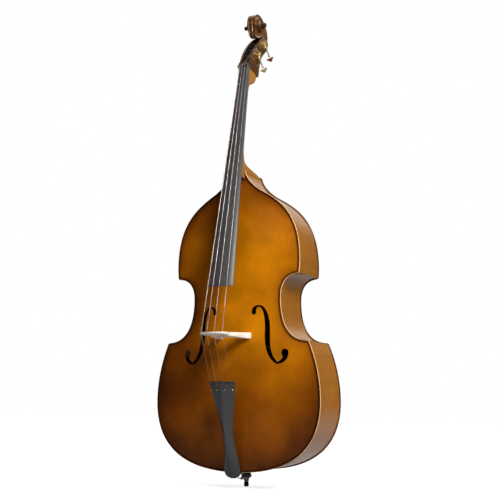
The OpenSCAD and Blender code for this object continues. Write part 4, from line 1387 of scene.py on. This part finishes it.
def make_tail():
    strands = [(8, -19, 24), (8, -7.6, 4.5), (8, -7.2, -2.5), (8, -3.4, -6.2)]
    loop_r, groove_z = 15.1, -6.2
    around = [(loop_r * math.cos(a), ENDPIN_Y + loop_r * math.sin(a), groove_z) for a in np.linspace(0, math.pi, 21)]
    line = strands + around + [(-x, y, z) for x, y, z in strands[::-1]]
    line = bend(line, 4, 4)
    line = resample(line, 3)
    run = np.concatenate([[0], np.cumsum(np.linalg.norm(np.diff(line, axis=0), axis=1))])
    ahead = np.gradient(line, axis=0)
    ahead /= np.linalg.norm(ahead, axis=1)[:, None]
    u = np.array([0, 0, 1.0])
    rows, sides = [], 24
    for p, t, s in zip(line, ahead, run):
        u = u - (u @ t) * t
        u /= np.linalg.norm(u)
        v = np.cross(t, u)
        ring = []
        for j in range(sides):
            a = 2 * math.pi * j / sides
            r = 1.85 + 0.22 * math.cos(5 * a - s * 0.9)
            ring.append(p + r * (math.cos(a) * u + math.sin(a) * v))
        rows.append(ring)
    piece("tail_cord_twisted", *skin(rows), CORD, ["tail_cord"], slot="tail_cord_black", sharp=60)

    at = (0, ENDPIN_Y, 0)
    plug = [(5.2, -23), (15.5, -23), (17.6, -21.6), (19, -18.4), (19, -12.4), (18, -9.9), (13.2, -9.2)]
    plug += [(13, -6.2), (13.2, -3.4), (17.4, -2.4), (18, 0), (17.6, 3.6), (15, 3.9), (15, 52), (14, 54), (5.2, 54)]
    v, f = ring_lathe(plug, at)
    piece("endpin_plug_turned", v, f, EBONY, ["endpin_plug"], slot="ebony_black", sharp=40)
    collar = [(5.1, -38.5), (7.4, -38.5), (8.2, -37.8), (8.4, -36), (9.2, -34.6), (9.2, -33.6), (8.8, -33.2)]
    collar += [(9.6, -30), (10.6, -27.6), (11, -26.8), (11.2, -25.2), (12.4, -24.8), (12.6, -23.6)]
    collar += [(12.2, -23.0), (9, -22.9), (9, -12), (5.1, -12)]
    v, f = ring_lathe(collar, at)
    piece("endpin_collar_turned", v, f, CHROME, ["endpin_collar"], slot="chromed_steel", sharp=35)
    rod = [(0.3, -48), (5, -48), (5, 350), (4.4, 351.4), (3.4, 352), (0.3, 352)]
    v, f = lathe(rod, at)
    piece("endpin_rod_polished", v, f, CHROME, ["endpin_rod"], body="endpin", slot="chromed_steel", sharp=40)
    tip = [(0.3, -56), (6.2, -56), (8.8, -53), (9, -50), (9, -46), (8.2, -45), (8.6, -43), (7.8, -39)]
    v, f = lathe(rounded(tip + [(5.2, -39), (5.2, -42)], 0.9), at)
    piece("endpin_tip_moulded", v, f, RUBBER, ["endpin_tip"], body="endpin", slot="black_rubber", sharp=40)
    make_thumb_screw()


def ring_lathe(profile, centre, axis=(0, 0, 1), sides=48):
    """A turned ring: the profile is a closed loop off the axis."""
    u, v, w = axes_of(axis)
    rows = []
    for a in circle_of(sides):
        d = math.cos(a) * u + math.sin(a) * v
        rows.append([np.asarray(centre, float) + h * w + r * d for r, h in profile])
    rows = np.array(rows)
    k, m = rows.shape[:2]
    faces = []
    for i in range(k):
        for j in range(m):
            faces.append((i * m + j, i * m + (j + 1) % m, ((i + 1) % k) * m + (j + 1) % m, ((i + 1) % k) * m + j))
    return rows.reshape(-1, 3), faces


def make_thumb_screw():
    z = -28
    at = (-20.5, ENDPIN_Y, z)
    shaft = lathe([(0.2, 0), (2.6, 0), (3, 0.5), (3, 15.1), (0.2, 15.1)], at, (1, 0, 0), 24)
    boss = lathe([(0.2, -2), (4.6, -2), (5.4, -1.2), (5.4, 2.4), (4.4, 3.2), (0.2, 3.2)], at, (1, 0, 0), 32)
    sweep = np.linspace(-0.5, math.pi + 0.5, 22)
    lobe = np.array([(5.6 * math.cos(a), 4.4 + 5.2 * math.sin(a)) for a in sweep])
    outline = anticlockwise(np.concatenate([lobe, -lobe]))
    v, f, _ = slab(outline, [], 2.5, 0.8, level(-1.7), level(1.7), steps=4)
    wing = np.stack([v[:, 0] - 26.5, v[:, 1] + ENDPIN_Y, v[:, 2] + z], 1)
    v, f = joined(shaft, boss, (wing, f))
    piece("thumb_screw_winged", v, f, CHROME, ["thumb_screw"], body="clamp_screw", slot="chromed_steel", sharp=40)


# ---- tuners ----------------------------------------------------------------------------

KEY_TILT = math.radians(-36.87)
WHEEL_R, WHEEL_X, WHEEL_TEETH = 12.5, 9, 20
WORM_R, WORM_CORE, WORM_SIDES, TOOTH = 4.8, 3.4, 28, 0.9
CENTRE_GAP = WHEEL_R + WORM_R + 0.3
WORM_PITCH = 2 * math.pi * WHEEL_R / WHEEL_TEETH
WORM_LENGTH = 4 * WORM_PITCH
KEY_REACH = 64
KEY_REST = math.radians(34)


def at_tuner(tuner, points):
    """From a tuner's own axes: x out from the cheek, y along the worm, z away from it."""
    side, (y, z) = tuner
    p = np.asarray(points, float)
    c, s = math.cos(KEY_TILT), math.sin(KEY_TILT)
    out, along, away = p.T
    return np.stack([side * (PEGBOX_HALF + out), y + c * along - s * away, z + s * along + c * away], 1)


def key_swell(p):
    """Half the button's thickness, greatest in its middle."""
    return 1.9 + 1.4 * np.exp(-((np.hypot(p[:, 0], p[:, 1]) / 6.5) ** 2))


def tuner_plate():
    """The cast plate on the cheek, with the two posts that carry the worm."""
    outline = path(
        [
            [(-24, -12), (-24, -18), (-26, -27), (-20, -27)],
            [(-20, -27), (-12, -27), (14, -27), (24, -27)],
            [(24, -27), (30, -27), (28, -18), (28, -12)],
            [(28, -12), (28, -4), (29, 4), (28.5, 8)],
            [(28.5, 8), (27, 13), (20, 12), (16, 13)],
            [(16, 13), (8, 17), (-8, 17), (-14, 13)],
            [(-14, 13), (-18, 12), (-24, 13), (-24.5, 8)],
            [(-24.5, 8), (-25, 4), (-24, -4), (-24, -12)],
        ],
        2.5,
    )[:-1]
    clockwise = circle_of(20)[::-1]
    holes = [np.stack([5.2 * np.cos(clockwise), 5.2 * np.sin(clockwise)], 1)]
    v, f, _ = slab(outline, holes, 6, 0.7, level(0), level(2), steps=4)
    parts = [(v[:, [2, 0, 1]], f)]
    mz, mx = -CENTRE_GAP, WHEEL_X - 3
    arc = [(mz + 5.4 * math.sin(a), WHEEL_X + 5.4 * math.cos(a)) for a in np.linspace(math.pi / 2, -math.pi / 2, 13)]
    loop = [(mz + 6.5, 1.5)] + arc + [(mz - 6.5, 1.5)]
    for y0 in (-WORM_LENGTH / 2 - 5.5, WORM_LENGTH / 2 + 1.5):
        rows = []
        for y, shrink in ((y0, 0.5), (y0 + 0.5, 0), (y0 + 3.5, 0), (y0 + 4, 0.5)):
            k = 1 - shrink / 8
            rows.append([(mx + (x - mx) * k if x > 2 else x, y, mz + (z - mz) * k) for z, x in loop])
        parts.append(skin(rows))
    return joined(*parts)


def worm():
    """The worm with its shaft and the key's neck."""
    rows, steps = [], 4 * 24
    for i in range(steps + 1):
        run = -WORM_LENGTH / 2 + WORM_LENGTH * i / steps
        lead = 2 * math.pi * run / WORM_PITCH - math.pi / 2
        fade = max(0, min(1, (WORM_LENGTH / 2 - abs(run)) / 1.2))
        ring = []
        for j in range(WORM_SIDES):
            a = 2 * math.pi * j / WORM_SIDES
            c = math.cos(a - lead)
            r = WORM_R + TOOTH * c - 0.7 * (1 - c * c) if c > -0.99 else WORM_R - TOOTH
            r = WORM_CORE + (r - WORM_CORE) * fade
            ring.append((WHEEL_X + r * math.cos(a), run, -CENTRE_GAP - r * math.sin(a)))
        rows.append(ring)
    end = -WORM_LENGTH / 2 - 7
    profile = [(0.2, end), (2.4, end), (3, -WORM_LENGTH / 2 - 6.4), (3, 22), (2.6, 24), (2.5, 38), (2.8, 44)]
    profile += [(4.2, 46), (4.4, 47.5), (3.2, 49.5), (3.6, 52), (0.2, 52)]
    return joined(skin(rows), lathe(profile, (WHEEL_X, 0, -CENTRE_GAP), (0, 1, 0), WORM_SIDES))


def key_button():
    """The key's three-lobed button, turned with its shaft."""
    outline = []
    for a in circle_of(72):
        lobe = 0.5 + 0.5 * math.cos(3 * (a - math.pi / 2))
        r = 6.4 + 5.6 * lobe**0.8
        outline.append((r * math.cos(a) * 1.36, r * math.sin(a) * 0.85))
    low, high = lambda p, d: -key_swell(p), lambda p, d: key_swell(p)
    v, f, _ = slab(np.array(outline), [], 2.6, 1.3, low, high, steps=6, soft=0.7)
    across = np.array([math.cos(KEY_REST), 0, math.sin(KEY_REST)])
    through = np.array([-math.sin(KEY_REST), 0, math.cos(KEY_REST)])
    spots = np.array([WHEEL_X, KEY_REACH, -CENTRE_GAP]) + np.outer(v[:, 0], across) + np.outer(v[:, 2], through)
    spots[:, 1] += v[:, 1]
    return spots, f


def make_tuners():
    plate, thread, button = tuner_plate(), worm(), key_button()
    for name, tuner in zip(STRINGS, TUNERS):
        finish = BRONZE if name == "d" else BRASS
        for title, (v, f), material, node, body, sharp in (
            (f"tuner_plate_{name}_cast", plate, PLATE_BRASS, f"tuner_plate_{name}", ROOT, 38),
            (f"worm_{name}_cut", thread, BRASS, f"worm_shaft_{name}", f"key_{name}", 40),
            (f"key_{name}_button", button, finish, f"key_button_{name}", f"key_{name}", 45),
        ):
            piece(title, at_tuner(tuner, v), f, material, [node], body, "tuner_brass", sharp)
        for node in (f"worm_wheel_{name}", f"roller_{name}", f"wheel_screw_{name}"):
            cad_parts[node].material_slots[0].material = BRASS


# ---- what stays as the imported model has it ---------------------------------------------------


def dress_nodes():
    inside = ["neck_block", "tail_block", "linings", "sound_post", "bass_bar"]
    inside += [f"{a}_corner_block_{b}" for a in ("upper", "lower") for b in ("left", "right")]
    for node in inside:
        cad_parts[node].material_slots[0].material = SPRUCE
    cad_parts["plate_screws"].material_slots[0].material = BRASS


def make_bar():
    """The bass bar, fitted to the arch that shows."""
    low, high, middle, half = 200, 900, -60.0, 9
    zs = np.linspace(low, high, 57)
    inside = front_y(np.array([(middle, z) for z in zs]), np.full(len(zs), 120.0)) + PLATE_T
    rows = []
    for z, y in zip(zs, inside):
        deep = 8 + 22 * math.sin(math.pi * (z - low) / (high - low))
        section = [(-half, 0.3), (half, 0.3), (half, deep - 3), (half - 3, deep), (3 - half, deep), (-half, deep - 3)]
        rows.append([(middle + x, y + back, z) for x, back in section])
    piece("bass_bar_fitted", *skin(rows), SPRUCE, ["bass_bar"], slot="bare_spruce", sharp=40)


# ---- studio ----------------------------------------------------------------------------------

CAMERA_AT = (1.496, -2.904, 0.3205)
CAMERA_TURN, CAMERA_PITCH, CAMERA_ROLL = 27.19, 9.74, 0.64
CAMERA_LENS = 62.04


def make_camera():
    data = bpy.data.cameras.new("camera")
    data.lens, data.sensor_width = CAMERA_LENS, 36
    o = add_object("camera", data)
    a, e, r = math.radians(CAMERA_TURN), math.radians(CAMERA_PITCH), math.radians(CAMERA_ROLL)
    ahead = Vector((-math.sin(a) * math.cos(e), math.cos(a) * math.cos(e), math.sin(e)))
    right = ahead.cross(Vector((0, 0, 1))).normalized()
    up = right.cross(ahead)
    right, up = right * math.cos(r) + up * math.sin(r), up * math.cos(r) - right * math.sin(r)
    o.matrix_world = matrix_from(right, up, -ahead, Vector(CAMERA_AT))
    bpy.context.scene.camera = o


def matrix_from(x, y, z, at):
    m = Matrix((x, y, z)).transposed().to_4x4()
    m.translation = at
    return m


def area_light(name, at, to, power):
    data = bpy.data.lights.new(name, "AREA")
    data.shape = "RECTANGLE"
    data.size = data.size_y = LIGHT_SIZE
    data.energy = power
    o = add_object(name, data)
    ahead = Vector(to) - Vector(at)
    o.matrix_world = ahead.to_track_quat("-Z", "Y").to_matrix().to_4x4()
    o.location = at


# How much light diffuse rays find in the world, and its tint in reflections.
FILL = 0.035
WARM = (1.0, 0.95, 0.84)


def make_world():
    """White to the camera, dim to diffuse rays, and bright behind and above in the varnish."""
    world = bpy.data.worlds.new("studio")
    bpy.context.scene.world = world
    world.use_nodes = True
    nodes = Nodes(world.node_tree)
    camera = nodes.seen_by("Camera")
    where = nodes.add("ShaderNodeTexCoord", out="Generated")
    x, y, z = (nodes.add("ShaderNodeSeparateXYZ", {0: where}, out=axis) for axis in "XYZ")
    high = nodes.spread(z, 0.38, 0.75, 0.08, 1.7)
    left = nodes.spread(x, 0.30, -0.05, 0.0, 1.2)
    behind = nodes.spread(y, -0.35, 0.15, 0.03, 1.0)
    glow = nodes.math("MULTIPLY", nodes.blend(left, high, 0.6), behind)
    strength = nodes.blend(camera, nodes.blend(nodes.seen_by("Diffuse"), glow, FILL), 1.0)
    green, blue = (nodes.blend(camera, part, 1.0) for part in WARM[1:])
    back = nodes.tree.nodes["Background"]
    nodes.join(strength, back.inputs["Strength"])
    nodes.join(nodes.add("ShaderNodeCombineColor", {0: WARM[0], 1: green, 2: blue}), back.inputs["Color"])


FLOOR_HALF = 9


def make_floor():
    """A pale floor that the camera sees fade to white."""
    mesh = bpy.data.meshes.new("floor")
    corners = [(-1, -1), (1, -1), (1, 1), (-1, 1)]
    mesh.from_pydata([(x * FLOOR_HALF, y * FLOOR_HALF, -0.0005) for x, y in corners], [], [(0, 1, 2, 3)])
    floor = add_object("floor", mesh)
    look = Look("pale_floor", Roughness=0.8, Specular_IOR_Level=0.1, Emission_Color=(1, 1, 1, 1))
    pale = look.mix(look.spread(look.noise(3, 3), 0.3, 0.7), (0.52, 0.52, 0.52), (0.56, 0.56, 0.56))
    where = look.add("ShaderNodeTexCoord", out="Object")
    away = look.add("ShaderNodeVectorMath", {0: where}, out="Value", operation="LENGTH")
    bright = look.spread(away, 0.2, 2.0, 0.82, 1.0)
    look.set(Base_Color=pale, Emission_Strength=look.blend(look.seen_by("Camera"), 0.0, bright))
    mesh.materials.append(look.material)


LIGHT_SIZE = 1.2
# each light's place, what it points at, and its power
LIGHTS = {
    "key_right": ((2.36, -1.64, 2.40), (0, 0, 0.95), 115),
    "fill_front": ((-0.6, -3.6, 2.2), (0, 0, 0.9), 2.5),
    "fill_back": ((-1.9, 2.6, 2.3), (0, 0, 0.9), 45),
}


def make_studio():
    bpy.context.scene.view_settings.view_transform = "Standard"
    make_world()
    for name, (at, to, power) in LIGHTS.items():
        area_light(name, at, to, power)
    make_floor()


make_camera()
make_studio()
make_plates()
make_ribs()
make_neck()
make_board()
make_bridge()
make_tailpiece()
make_strings()
make_tail()
make_tuners()
make_bar()
dress_nodes()
